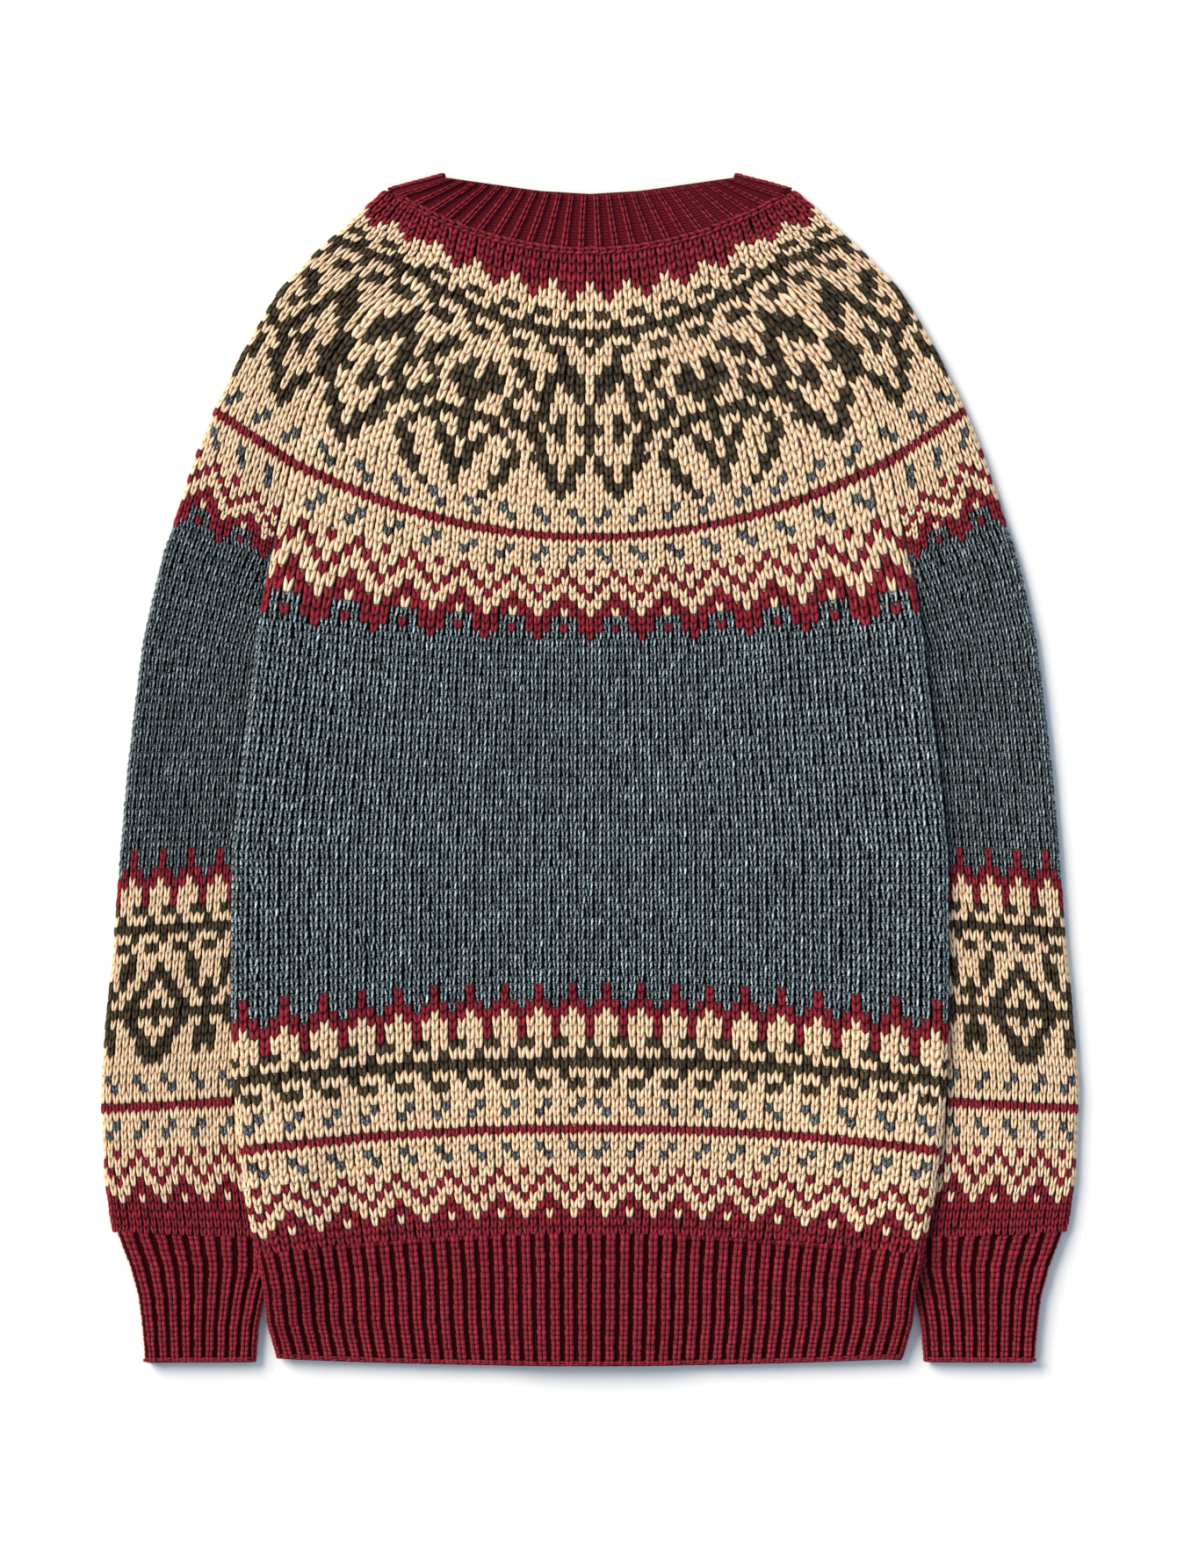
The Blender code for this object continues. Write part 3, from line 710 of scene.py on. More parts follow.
UPPER_CREASES = (
    Crease((-203.0, 112.0), (-112.0, 152.0), 1.0, 9.0),
    Crease((-198.0, 92.0), (-136.0, 66.0), 0.8, 8.0),
    Crease((204.0, 104.0), (104.0, 138.0), 0.9, 10.0),
    Crease((196.0, 66.0), (146.0, 92.0), -0.7, 8.0),
    Crease((-276.0, 14.0), (-216.0, -16.0), 1.1, 8.0),
    Crease((-262.0, -66.0), (-212.0, -50.0), 0.7, 7.0),
    Crease((280.0, -24.0), (220.0, 6.0), 1.0, 9.0),
    Crease((268.0, 54.0), (228.0, 26.0), -0.6, 8.0),
    Crease((-64.0, -30.0), (-34.0, -150.0), 0.6, 14.0),
    Crease((88.0, 36.0), (112.0, -96.0), 0.7, 12.0),
    Crease((-150.0, -212.0), (-178.0, -296.0), 0.7, 9.0),
    Crease((158.0, -226.0), (177.0, -304.0), 0.8, 8.0),
    Crease((-258.0, 168.0), (-196.0, 214.0), 0.7, 9.0),
    Crease((236.0, 152.0), (188.0, 226.0), 0.8, 10.0),
)
UNDER_CREASES = (
    Crease((-176.0, 104.0), (-104.0, 56.0), 0.8, 9.0),
    Crease((150.0, 52.0), (118.0, -96.0), 0.7, 11.0),
    Crease((-78.0, -56.0), (-98.0, -196.0), 0.6, 12.0),
    Crease((178.0, -196.0), (136.0, -262.0), 0.7, 8.0),
    Crease((-272.0, -4.0), (-218.0, 22.0), 0.7, 8.0),
    Crease((272.0, -44.0), (222.0, -8.0), 0.6, 8.0),
    Crease((-60.0, 196.0), (-118.0, 150.0), 0.5, 9.0),
)


def settled(points: np.ndarray) -> np.ndarray:
    """Lets cloth settle into its soft creases: down on the upper side, and up underneath.

    Args:
        points: Places in millimetres.

    Returns:
        The places, moved.
    """
    flat, height = points[:, :2], points[:, 2]
    upper = sum(crease.fall(flat) for crease in UPPER_CREASES)
    under = sum(crease.fall(flat) for crease in UNDER_CREASES)
    change = under * np.clip((MIDDLE - height) / CREASE_FADE, 0.0, 1.0)
    change -= upper * np.clip((height - MIDDLE) / CREASE_FADE, 0.0, 1.0)
    return np.column_stack([flat, height + change])


# ------------------------------------------------------------------ yarn


@dataclass(frozen=True)
class StitchShape:
    """One stitch as two legs of yarn, in shares of its own cell; heights in millimetres.

    A leg rises from its foot, over the row below, to its head, which dives under the row above.
    """

    foot_aside: float = 0.105
    head_aside: float = 0.355
    foot_down: float = 1.24
    head_up: float = -0.28
    half_width: float = 0.222
    places: tuple[float, ...] = (0.0, 0.14, 0.45, 0.78, 1.0)
    # The leg's width at the places between its two tips
    widths: tuple[float, ...] = (0.88, 1.0, 0.80)
    crests: tuple[float, ...] = (-0.25, 0.66, 0.60, 0.18, -0.65)
    floor: float = -1.15
    shoulders: float = 0.48
    thickness: float = 1.25
    bend: float = 0.85

    def aside(self, share: float | np.ndarray) -> float | np.ndarray:
        """How far from the stitch's middle a leg lies, at a share of the way to its head."""
        return self.foot_aside + (self.head_aside - self.foot_aside) * share**self.bend

    def leg(self, side: float) -> tuple[np.ndarray, np.ndarray, np.ndarray, np.ndarray]:
        """One leg, made from a small grid that is rolled up and closed at its tips.

        Args:
            side: -1 for the left leg and 1 for the right.

        Returns:
            Its vertices across, down and out, its triangles, their map and their depth, which sets
            the painted shade: 0 where it is darkest, 1 on the crest.
        """
        shape = bmesh.new()
        last = len(self.places) - 1
        bmesh.ops.create_grid(shape, x_segments=4, y_segments=last, size=1.0)
        around = (-1.0, -self.shoulders, self.shoulders, 1.0, -1.0)
        for vertex in shape.verts:
            turn = round((vertex.co.x + 1.0) * 2.0)
            rank = round((vertex.co.y + 1.0) / 2.0 * last)
            along, crest = self.places[rank], self.crests[rank]
            wide, low = 0.0, crest
            if 0 < rank < last:
                wide = self.half_width * self.widths[rank - 1]
                low = max(self.floor, crest - self.thickness)
            height = crest if turn in (1, 2) else low
            down = self.foot_down + (self.head_up - self.foot_down) * along
            vertex.co = (0.5 + side * self.aside(along) + wide * around[turn], down, height)
        bmesh.ops.remove_doubles(shape, verts=shape.verts, dist=1e-5)
        bmesh.ops.triangulate(shape, faces=shape.faces)
        bmesh.ops.recalc_face_normals(shape, faces=shape.faces)
        shape.verts.ensure_lookup_table()
        points = np.array([vertex.co[:] for vertex in shape.verts])
        faces = np.array([[v.index for v in face.verts] for face in shape.faces])
        shape.free()
        share = (points[:, 1] - self.foot_down) / (self.head_up - self.foot_down)
        middle = 0.5 + side * self.aside(np.clip(share, 0, 1))
        across = 0.5 + 0.25 * side + 0.2 * (points[:, 0] - middle) / self.half_width
        map_at = np.column_stack([across, 0.06 + 0.88 * share])
        # Painted shade: the depth falls towards each end of the leg, and to 0.4 on its low sides
        depth = np.clip(np.minimum((share + 0.10) / 0.25, (1.0 - share) / 0.5), 0.0, 1.0)
        depth = depth * np.where(points[:, 2] > self.floor + 0.3, 1.0, 0.4)
        return points, faces, map_at, depth

    def legs(self) -> tuple[np.ndarray, np.ndarray, np.ndarray, np.ndarray]:
        """Both legs together: vertices, triangles, their map and their depth, which sets the
        painted shade.
        """
        left, right = self.leg(-1.0), self.leg(1.0)
        faces = np.concatenate([left[1], right[1] + len(left[0])])
        joined = [np.concatenate([left[part], right[part]]) for part in (0, 2, 3)]
        return joined[0], faces, joined[1], joined[2]


PLAIN_STITCH = StitchShape()
SLIM_STITCH = StitchShape(
    foot_aside=0.165,
    head_aside=0.325,
    foot_down=1.14,
    head_up=-0.18,
    half_width=0.150,
    widths=(0.85, 1.0, 0.85),
    crests=(-0.6, 0.55, 0.66, 0.30, -0.65),
)
HEM_STITCH = StitchShape(
    foot_aside=0.145,
    head_aside=0.180,
    foot_down=1.3,
    head_up=-0.32,
    half_width=0.178,
    crests=(0.5, 1.72, 1.66, 1.25, 0.3),
    floor=-0.4,
)
NECK_STITCH = StitchShape(
    foot_aside=0.092,
    head_aside=0.122,
    foot_down=1.3,
    head_up=-0.32,
    half_width=0.085,
    crests=(0.5, 1.60, 1.55, 1.15, 0.3),
    floor=-0.4,
)


@dataclass
class Knitting:
    """Lays one stitch of yarn in each cell and joins them to one piece."""

    shape: StitchShape
    seed: int
    sway: float = 0.04
    swell: float = 0.08
    # How far stitches slip down in shares of their cells, and how far they lift in millimetres
    slip: float = 0.045
    lift: float = 0.07
    # Painted shade on the slate legs: 1 leaves them as they are
    slate_shade: float = 1.0
    slate_shape: StitchShape | None = None

    def piece(self, name: str, cells: Cells, finish: bpy.types.Material) -> bpy.types.Object:
        """Makes the piece.

        Args:
            name: The piece's name.
            cells: Where the stitches go.
            finish: The yarn's material.

        Returns:
            The piece, with its dyes and painted shade, and its own map.
        """
        points, faces, map_at, depth = self.shape.legs()
        rng = np.random.default_rng(self.seed)
        count, size = len(cells.letters), len(points)
        local = np.repeat(points[None], count, axis=0)
        if self.slate_shape:
            slate = np.array([letter == Yarn.SLATE.value for letter in cells.letters])
            local[slate] = self.slate_shape.legs()[0]
        lean = rng.normal(0.0, self.sway, (count, 1)) * (local[:, :, 1] - 0.5)
        shift = rng.normal(0.0, self.sway, (count, 1))
        swell = 1.0 + rng.normal(0.0, self.swell, (count, 1))
        across = 0.5 + (local[:, :, 0] - 0.5) * swell + lean + shift
        down = local[:, :, 1] + rng.normal(0.0, self.slip, (count, 1))
        height = local[:, :, 2] + rng.normal(0.0, self.lift, (count, 1))
        placed = blend_corners(cells.corners, across, down)
        out = unit(blend_corners(cells.ways, across.clip(0, 1), down.clip(0, 1)))
        placed = settled((placed + out * height[:, :, None]).reshape(-1, 3))
        placed[:, 2] = np.maximum(placed[:, 2], 0.0)
        every = (faces[None] + size * np.arange(count)[:, None, None]).reshape(-1, 3)
        mesh = bpy.data.meshes.new(name)
        mesh.from_pydata((placed * MM).tolist(), [], every.tolist())
        mesh.shade_smooth()
        self.write_dyes_and_shade(mesh, cells.letters, rng, depth)
        self.write_map(mesh, map_at, every, count, size)
        return new_object(name, mesh, finish)

    def write_dyes_and_shade(
        self, mesh: bpy.types.Mesh, letters: list[str], rng: np.random.Generator, depth: np.ndarray
    ) -> None:
        """Gives every leg its colour, a little lighter or darker than the next, and painted shade
        in its hollows.

        Args:
            mesh: The yarn.
            letters: The yarn of each stitch.
            rng: The source of the unevenness.
            depth: For each vertex of a stitch, 0 where the painted shade is deepest and 1 on the
                crest.
        """
        chosen = [DYES[Yarn(letter)] for letter in letters]
        base = np.array([dye_and_shade.colour for dye_and_shade in chosen])
        uneven, hollow_shade, marl = np.array([(dye_and_shade.uneven, dye_and_shade.hollow_shade, dye_and_shade.marl) for dye_and_shade in chosen]).T
        change = np.exp(rng.normal(0.0, 1.0, (len(chosen), 2)) * uneven[:, None])
        # Painted shade: the slate legs are darkened where they lie lower, on the sleeves
        change[np.array(letters) == Yarn.SLATE.value] *= self.slate_shade
        legs = np.repeat(change, len(depth) // 2, axis=1)
        colours = np.ones(legs.shape + (4,))
        # Painted shade: towards the hollows the colour turns darker and deeper in hue
        shaded_dye = base[:, None] ** (1.7 - 0.7 * depth)[None, :, None]
        colours[:, :, :3] = np.clip(shaded_dye * legs[:, :, None], 0.0, 0.95)
        mesh.attributes.new("dye_and_shade", "FLOAT_COLOR", "POINT").data.foreach_set(
            "color", colours.ravel())
        # Painted shade as an attribute of its own: darkest in the hollows, none on the crest
        shade = hollow_shade[:, None] + (1.0 - hollow_shade[:, None]) * depth
        mesh.attributes.new("shade", "FLOAT", "POINT").data.foreach_set("value", shade.ravel())
        mesh.attributes.new("marl", "FLOAT", "POINT").data.foreach_set(
            "value", np.repeat(marl, len(depth)))

    def write_map(
        self,
        mesh: bpy.types.Mesh,
        map_at: np.ndarray,
        every: np.ndarray,
        count: int,
        size: int,
    ) -> None:
        """Gives every stitch its own square of the piece's map."""
        side = math.ceil(math.sqrt(count))
        number = every.ravel() // size
        corner = np.column_stack([number % side, number // side])
        places = (corner + map_at[every.ravel() % size]) / side
        mesh.uv_layers.new(name="OFBake").data.foreach_set("uv", places.ravel())


def blend_corners(corners: np.ndarray, across: np.ndarray, down: np.ndarray) -> np.ndarray:
    """Places inside, or just beyond, four-cornered cells.

    Args:
        corners: The cells' corners, or the ways out at them.
        across: Shares from left to right, for each cell and point.
        down: Shares from the upper to the lower side.

    Returns:
        The places, for each cell and point.
    """
    across, down = across[:, :, None], down[:, :, None]
    upper = corners[:, None, 0, 0] * (1 - across) + corners[:, None, 1, 0] * across
    lower = corners[:, None, 0, 1] * (1 - across) + corners[:, None, 1, 1] * across
    return upper * (1 - down) + lower * down


# ------------------------------------------------------------------ cloth


@dataclass
class Row:
    """One row of a cloth: its two lines, with the sides of its stitches along each."""

    upper: Course
    lower: Course
    upper_sides: np.ndarray
    lower_sides: np.ndarray
    letters: list[str]

    def cells(self) -> Cells:
        """The row's cells."""
        corners, ways = cells_between(self.upper, self.lower, self.upper_sides, self.lower_sides)
        return Cells(corners, ways, self.letters)

    def mirrored(self) -> "Row":
        """The same row on the other side of the garment."""
        upper, lower = self.upper.mirrored(), self.lower.mirrored()
        upper_sides = self.upper.length - self.upper_sides[::-1]
        lower_sides = self.lower.length - self.lower_sides[::-1]
        return Row(upper, lower, upper_sides, lower_sides, self.letters[::-1])


@dataclass
class Knot:
    """A vertex of a cloth, with its share of the way along its line."""

    vertex: bmesh.types.BMVert
    share: float


@dataclass
class Shell:
    """A thin cloth through rows of stitches, some way under the face of its solid.

    Lines after closed_from are rings. Turns are extra places round a fold, from a line's ends.
    Where shade_under_yarn isn't 0, yarn covers the faces that look up, and their colour is
    darkened with painted shade.
    The first line reaches over the seam above it by the tuck.
    """

    depth: float = 1.0
    wall: float = 1.6
    turns: tuple[float, ...] = ()
    closed_from: int = 10_000
    # How light the painted shade is on faces under the yarn; 0 paints none
    shade_under_yarn: float = 0.0
    tuck: float = 0.9
    looks_up: float = 0.3
    # How much that painted shade deepens the hue
    hollow_power: float = 1.6

    def piece(self, name: str, rows: list[Row], finish: bpy.types.Material) -> bpy.types.Object:
        """Makes the cloth.

        Args:
            name: The piece's name.
            rows: The rows from top to foot.
            finish: Its material.

        Returns:
            The piece, with its dyes and painted shade, and a map whose squares are the stitches.
        """
        shape = bmesh.new()
        # Each corner's colour, with painted shade on the faces that lie under the yarn
        dye_and_shade = shape.loops.layers.float_color.new("dye_and_shade")
        over = shape.loops.layers.float_color.new("dye_over")
        squares = shape.loops.layers.uv.new("stitches")
        first = rows[0]
        line = self.line(shape, first.upper, first.lower, first.upper_sides, 1.0, 0)
        before = first
        for index, row in enumerate(rows):
            ahead = rows[index + 1] if index + 1 < len(rows) else None
            sides = ahead.upper_sides if ahead else row.lower_sides
            below = self.line(shape, row.lower, row.upper, sides, -1.0, index + 1)
            for corners in self.strip(line, below):
                places = [self.stitch_of(row, knot, rank) for knot, rank in corners]
                middle = sum(places) / len(places)
                share = sum(knot.share for knot, _ in corners) / len(corners)
                above_at = share * before.lower.length
                above = np.searchsorted(before.lower_sides, above_at) - 1
                own = row.letters[min(len(row.letters) - 1, int(middle))]
                past = before.letters[int(np.clip(above, 0, len(before.letters) - 1))]
                face = shape.faces.new([knot.vertex for knot, _ in corners])
                face.smooth = True
                face.normal_update()
                dyed = DYES[Yarn(own)]
                shaded = dyed.plain
                # Painted shade: faces that look up lie under the yarn, so their colour is darkened
                # and deepened in hue
                if self.shade_under_yarn and face.normal.z > self.looks_up:
                    dim = self.shade_under_yarn * dyed.hollow_shade
                    shaded = tuple(dim * part**self.hollow_power for part in dyed.colour)
                for loop, place, (_, rank) in zip(face.loops, places, corners):
                    loop[dye_and_shade] = shaded + (1.0,)
                    loop[over] = DYES[Yarn(past)].plain + (1.0,)
                    loop[squares].uv = (place, -index - rank)
            line, before = below, row
        piece = new_object(name, mesh_of(name, shape), finish)
        solid = piece.modifiers.new("wall", "SOLIDIFY")
        solid.thickness = self.wall * MM
        solid.offset = -1.0
        return piece

    def line(
        self,
        shape: bmesh.types.BMesh,
        course: Course,
        other: Course,
        sides: np.ndarray,
        sense: float,
        number: int,
    ) -> list[Knot]:
        """One line of vertices.

        Args:
            shape: The mesh in the making.
            course: The line to follow.
            other: The line on the other side of the row.
            sides: Where the stitches' sides meet it.
            sense: 1 if the other line is below, -1 if it is above.
            number: The line's number.

        Returns:
            The vertices with their shares of the line.
        """
        extra = [course.length - turn for turn in self.turns] + list(self.turns)
        lengths = np.array(sorted(set(sides.tolist() + extra)))
        lengths = lengths[np.concatenate([[True], np.diff(lengths) > 0.05])]
        here, there = course.at(lengths), other.at(lengths / course.length * other.length)
        out = unit(np.cross(unit(there - here) * sense, course.way(lengths)))
        under = self.depth * np.clip((out[:, 2:] + 0.25) / 0.5, 0.0, 1.0)
        over = unit(here - there) * (self.tuck if number == 0 else 0.0)
        places = settled(here - out * under + over) * MM
        knots = [
            Knot(shape.verts.new(place), length / course.length)
            for place, length in zip(places, lengths)
        ]
        if number >= self.closed_from:
            shape.verts.remove(knots[-1].vertex)
            knots[-1] = Knot(knots[0].vertex, 1.0)
        return knots

    def stitch_of(self, row: Row, knot: Knot, rank: float) -> float:
        """How many stitches along its row a vertex lies."""
        above = rank == 0.0
        course = row.upper if above else row.lower
        sides = row.upper_sides if above else row.lower_sides
        return float(np.interp(knot.share * course.length, sides, np.arange(len(sides))))

    def strip(self, upper: list[Knot], lower: list[Knot]) -> list[list[tuple[Knot, float]]]:
        """The faces between two lines of vertices.

        Args:
            upper: The upper line.
            lower: The lower line, which may hold more or fewer vertices.

        Returns:
            The corners of each face, with 0 for those above and 1 for those below.
        """
        faces = []
        high = low = 0
        while high < len(upper) - 1 or low < len(lower) - 1:
            next_high = upper[high + 1].share if high < len(upper) - 1 else 9.0
            next_low = lower[low + 1].share if low < len(lower) - 1 else 9.0
            corners = [(upper[high], 0.0), (lower[low], 1.0)]
            both = abs(next_high - next_low) < 0.004
            if both or next_low < next_high:
                low += 1
                corners.append((lower[low], 1.0))
            if both or next_high <= next_low:
                high += 1
                corners.append((upper[high], 0.0))
            faces.append(corners)
        return faces


def crimson_rows(courses: list[Course], sides: Callable[[Course], np.ndarray]) -> list[Row]:
    """Rows of crimson between lines.

    Args:
        courses: The lines, from the top.
        sides: Finds where the stitches' sides meet a line.

    Returns:
        The rows.
    """
    rows = []
    for upper, lower in zip(courses, courses[1:]):
        high, low = sides(upper), sides(lower)
        rows.append(Row(upper, lower, high, low, [Yarn.CRIMSON.value] * (len(high) - 1)))
    return rows


def joined_cells(rows: list[Row]) -> Cells:
    """The cells of all these rows."""
    parts = [row.cells() for row in rows]
    letters = [letter for part in parts for letter in part.letters]
    corners = np.concatenate([part.corners for part in parts])
    return Cells(corners, np.concatenate([part.ways for part in parts]), letters)


@dataclass
class BackPanel:
    """The back: rows from the neck down to the hem's rib."""

    chart: Chart = BODY_CHART
    # The edge's distance from the middle at each height, from the hem up
    edge: tuple[tuple[float, float], ...] = (
        (-286.0, 196.8), (-255.0, 203.5), (-222.0, 207.5), (-184.0, 211.0), (-140.0, 212.0),
        (-95.0, 212.0), (-48.0, 211.5), (-12.0, 207.5), (24.0, 203.0), (50.0, 200.0),
        (84.0, 196.0), (97.0, 194.3), (111.0, 191.6), (124.0, 189.0), (152.0, 183.0),
        (182.0, 176.0), (214.0, 167.0), (244.0, 153.0), (271.0, 131.0), (291.0, 111.0),
        (306.0, 101.0), (326.3, 94.0),
    )
    # Rows against the height at the middle, and at the edge
    middle_rows: tuple[tuple[float, float], ...] = (
        (-0.5, 305.0), (2.0, 290.9), (6.0, 267.5), (10.0, 246.7), (14.0, 224.4), (18.0, 200.2),
        (22.0, 176.6), (26.0, 156.0), (30.0, 137.0), (35.0, 115.7), (43.0, 78.8), (60.0, 1.8),
        (75.0, -64.2), (90.0, -128.2), (94.0, -147.4), (98.0, -172.9), (101.0, -191.1),
        (105.0, -211.9), (110.0, -236.3), (115.0, -261.3), (117.5, -274.0),
    )
    edge_rows: tuple[tuple[float, float], ...] = (
        (-0.5, 326.3), (8.0, 297.0), (30.0, 182.0), (35.0, 151.0), (42.0, 96.5), (90.0, -139.0),
        (93.5, -161.0), (98.0, -184.0), (105.0, -225.0), (115.0, -275.0), (117.5, -286.0),
    )
    counts: tuple[tuple[int, int], ...] = (
        (0, 35), (6, 41), (11, 45), (16, 53), (21, 57), (27, 65), (35, 71), (44, 79),
    )
    fold_foot_row: float = 41.0
    fold_turns: tuple[float, ...] = (1.8, 3.6)
    parts: tuple[tuple[str, int, int], ...] = (
        ("yoke", 0, 44), ("middle", 44, 81), ("border", 81, 118),
    )

    def stitches_in(self, row: int) -> int:
        """How many stitches a row has."""
        return [count for first, count in self.counts if first <= row][-1]

    def course(self, solid: Solid, boundary: int) -> Course:
        """The line above a row.

        Args:
            solid: The back's solid.
            boundary: The row's number.

        Returns:
            The line from the left edge to the right edge.
        """
        middle = table_at(self.middle_rows, boundary - 0.5)[0]
        edge_y = table_at(self.edge_rows, boundary - 0.5)[0]
        edge_x = table_at(self.edge, edge_y)[0]
        turned = edge_x - round_fold(8, 88.0)
        reach = np.concatenate([np.linspace(0.0, edge_x - FOLD - 1.0, 60), turned])
        across = np.concatenate([-reach[:0:-1], reach])
        path = np.column_stack([across, middle + (edge_y - middle) * (across / edge_x) ** 2])
        return Course(solid.lay(path))

    def sides(self, course: Course, count: int) -> np.ndarray:
        """Where the stitches' sides are, a little closer in the middle than at the edges."""
        place = np.linspace(-1.0, 1.0, count + 1)
        return (1.0 + 0.92 * place + 0.08 * place**3) / 2.0 * course.length

    def rows(self) -> list[Row]:
        """All the rows."""
        solid = Solid("back")
        courses = [self.course(solid, boundary) for boundary in range(self.chart.rows + 1)]
        rows = []
        for number, (upper, lower) in enumerate(zip(courses, courses[1:])):
            count = self.stitches_in(number)
            half = count // 2
            letters = [
                self.chart.letter(number, stitch, half - abs(stitch))
                for stitch in range(-half, half + 1)
            ]
            sides = (self.sides(upper, count), self.sides(lower, count))
            rows.append(Row(upper, lower, *sides, letters))
        return rows

    def build(self, finishes: "Finishes") -> list[bpy.types.Object]:
        """Makes the back's cloth and its stitches.

        Args:
            finishes: The materials.

        Returns:
            The cloth, then the pieces of yarn.
        """
        rows = self.rows()
        shell = Shell(turns=self.fold_turns, shade_under_yarn=0.7)
        pieces = [shell.piece("back_cloth", rows, finishes.relief)]
        for index, (part, first, last) in enumerate(self.parts):
            cells = joined_cells(rows[first:last])
            knitting = Knitting(PLAIN_STITCH, seed=11 + index, slate_shape=SLIM_STITCH)
            pieces.append(knitting.piece(f"back_stitches_{part}", cells, finishes.yarn))
        return pieces


@dataclass
class Sleeve:
    """A sleeve from the neckband to the cuff's joint, drawn on the right and mirrored."""

    chart: Chart = SLEEVE_CHART
    # Rows against the height at the inner fold or raglan seam, and at the outer fold
    levels: tuple[tuple[float, float, float], ...] = (
        (-0.5, 326.3, 341.9), (8.0, 297.0, 314.5), (30.0, 182.0, 212.5), (35.0, 151.0, 188.0),
        (43.5, 124.0, 145.0), (46.0, 111.0, 133.0), (49.0, 97.0, 118.0), (52.0, 82.0, 104.0),
        (57.4, 64.0, 78.0), (65.3, 38.0, 40.0), (74.0, 0.0, -2.0), (83.5, -43.0, -48.0),
        (91.5, -85.0, -93.0), (110.5, -191.0, -197.5), (120.5, -248.5, -251.5),
        (125.5, -277.0, -273.0),
    )
    inner_fold: tuple[tuple[float, float], ...] = (
        (-277.0, 187.0), (-240.0, 178.0), (-190.0, 169.0), (-140.0, 162.0), (-95.0, 156.0),
        (-45.0, 150.0), (0.0, 147.0), (38.0, 150.0), (64.0, 160.0), (82.0, 178.0),
        (97.0, 194.9), (111.0, 192.2), (124.0, 189.6), (152.0, 183.2), (182.0, 176.2),
        (214.0, 167.2), (244.0, 153.2), (271.0, 131.2), (291.0, 111.2), (306.0, 101.2),
        (326.3, 94.2),
    )
    outer_fold: tuple[tuple[float, float], ...] = (
        (-273.0, 282.3), (-240.0, 287.3), (-188.0, 289.2), (-140.0, 285.3), (-98.0, 281.2),
        (-50.0, 277.8), (-2.0, 273.8), (40.0, 268.9), (78.0, 264.0), (104.0, 258.0),
        (118.0, 255.0), (133.0, 250.5), (148.5, 245.0), (182.0, 234.5), (213.0, 222.0),
        (247.0, 205.4), (283.0, 184.0), (305.0, 163.0), (321.0, 145.0), (332.0, 133.5),
        (341.9, 122.2),
    )
    # On the raglan seam: the height on top, and on the side that rests
    under_heights: tuple[tuple[float, float], ...] = (
        (124.0, 124.0), (152.0, 143.0), (182.0, 165.0), (214.0, 188.0), (244.0, 211.0),
        (271.0, 233.0), (291.0, 258.0), (306.0, 280.0), (326.3, 297.0),
    )
    under_edge: tuple[tuple[float, float], ...] = (
        (124.0, 189.6), (143.0, 185.2), (165.0, 180.2), (188.0, 174.7), (211.0, 168.2),
        (233.0, 159.2), (258.0, 142.2), (280.0, 122.2), (297.0, 105.2),
    )
    stitch_wide: tuple[tuple[float, float], ...] = (
        (0.0, 5.2), (20.0, 5.0), (43.0, 4.6), (56.0, 4.3), (126.0, 4.2),
    )
    closed_from: int = 44
    # Above this height no part of a sleeve is under the body
    underarm: float = 118.0
    tucked: float = 6.0
    faces_out: float = -0.35
    # How far the inner fold reaches to the body's edge at the underarm, by row
    gusset: tuple[tuple[float, float], ...] = (
        (43.0, 0.0), (44.0, 1.7), (50.0, 1.7), (54.0, 0.0), (126.0, 0.0),
    )

    def course(self, solid: Solid, boundary: int) -> tuple[Course, float]:
        """The line above a row: over the top to the outer fold, then back underneath.

        Args:
            solid: The right sleeve's solid.
            boundary: The row's number.

        Returns:
            The line, and how far along it the outer fold lies.
        """
        inner_y, outer_y = table_at(self.levels, boundary - 0.5)
        inner = np.array([table_at(self.inner_fold, inner_y)[0], inner_y])
        outer = np.array([table_at(self.outer_fold, outer_y)[0], outer_y])
        closed = boundary >= self.closed_from
        under = inner
        if not closed:
            under_y = table_at(self.under_heights, inner_y)[0]
            under = np.array([table_at(self.under_edge, under_y)[0], under_y])
        upper = solid.lay(fold_path(inner, outer, closed))
        lower = solid.lay(fold_path(under, outer, closed), from_above=False)[::-1]
        outer_point = np.array([[*outer, MIDDLE]])
        nearest = inner - unit(outer - inner) * table_at(self.gusset, boundary)[0]
        inner_point = np.array([[*nearest, MIDDLE]] if closed else []).reshape(-1, 3)
        top = Course(np.concatenate([inner_point, upper, outer_point]))
        whole = np.concatenate([inner_point, upper, outer_point, lower, inner_point])
        return Course(whole), top.length

    def sides(self, course: Course, fold: float, row: int, counts: tuple[int, int]) -> np.ndarray:
        """Where the stitches' sides are, counted from the outer fold."""
        top, foot = counts
        under = course.length - fold
        if row < self.closed_from:
            over = np.linspace(0.0, fold, top + 1)
            return np.concatenate([over, np.linspace(fold, course.length, foot + 1)[1:]])
        wide = table_at(self.stitch_wide, row)[0]
        over = fold - wide * np.arange(top)[::-1]
        back = fold + wide * np.arange(1, foot)
        if under < wide * foot - wide:
            raise ValueError("too many stitches round the sleeve")
        return np.concatenate([[0.0], over, back, [course.length]])

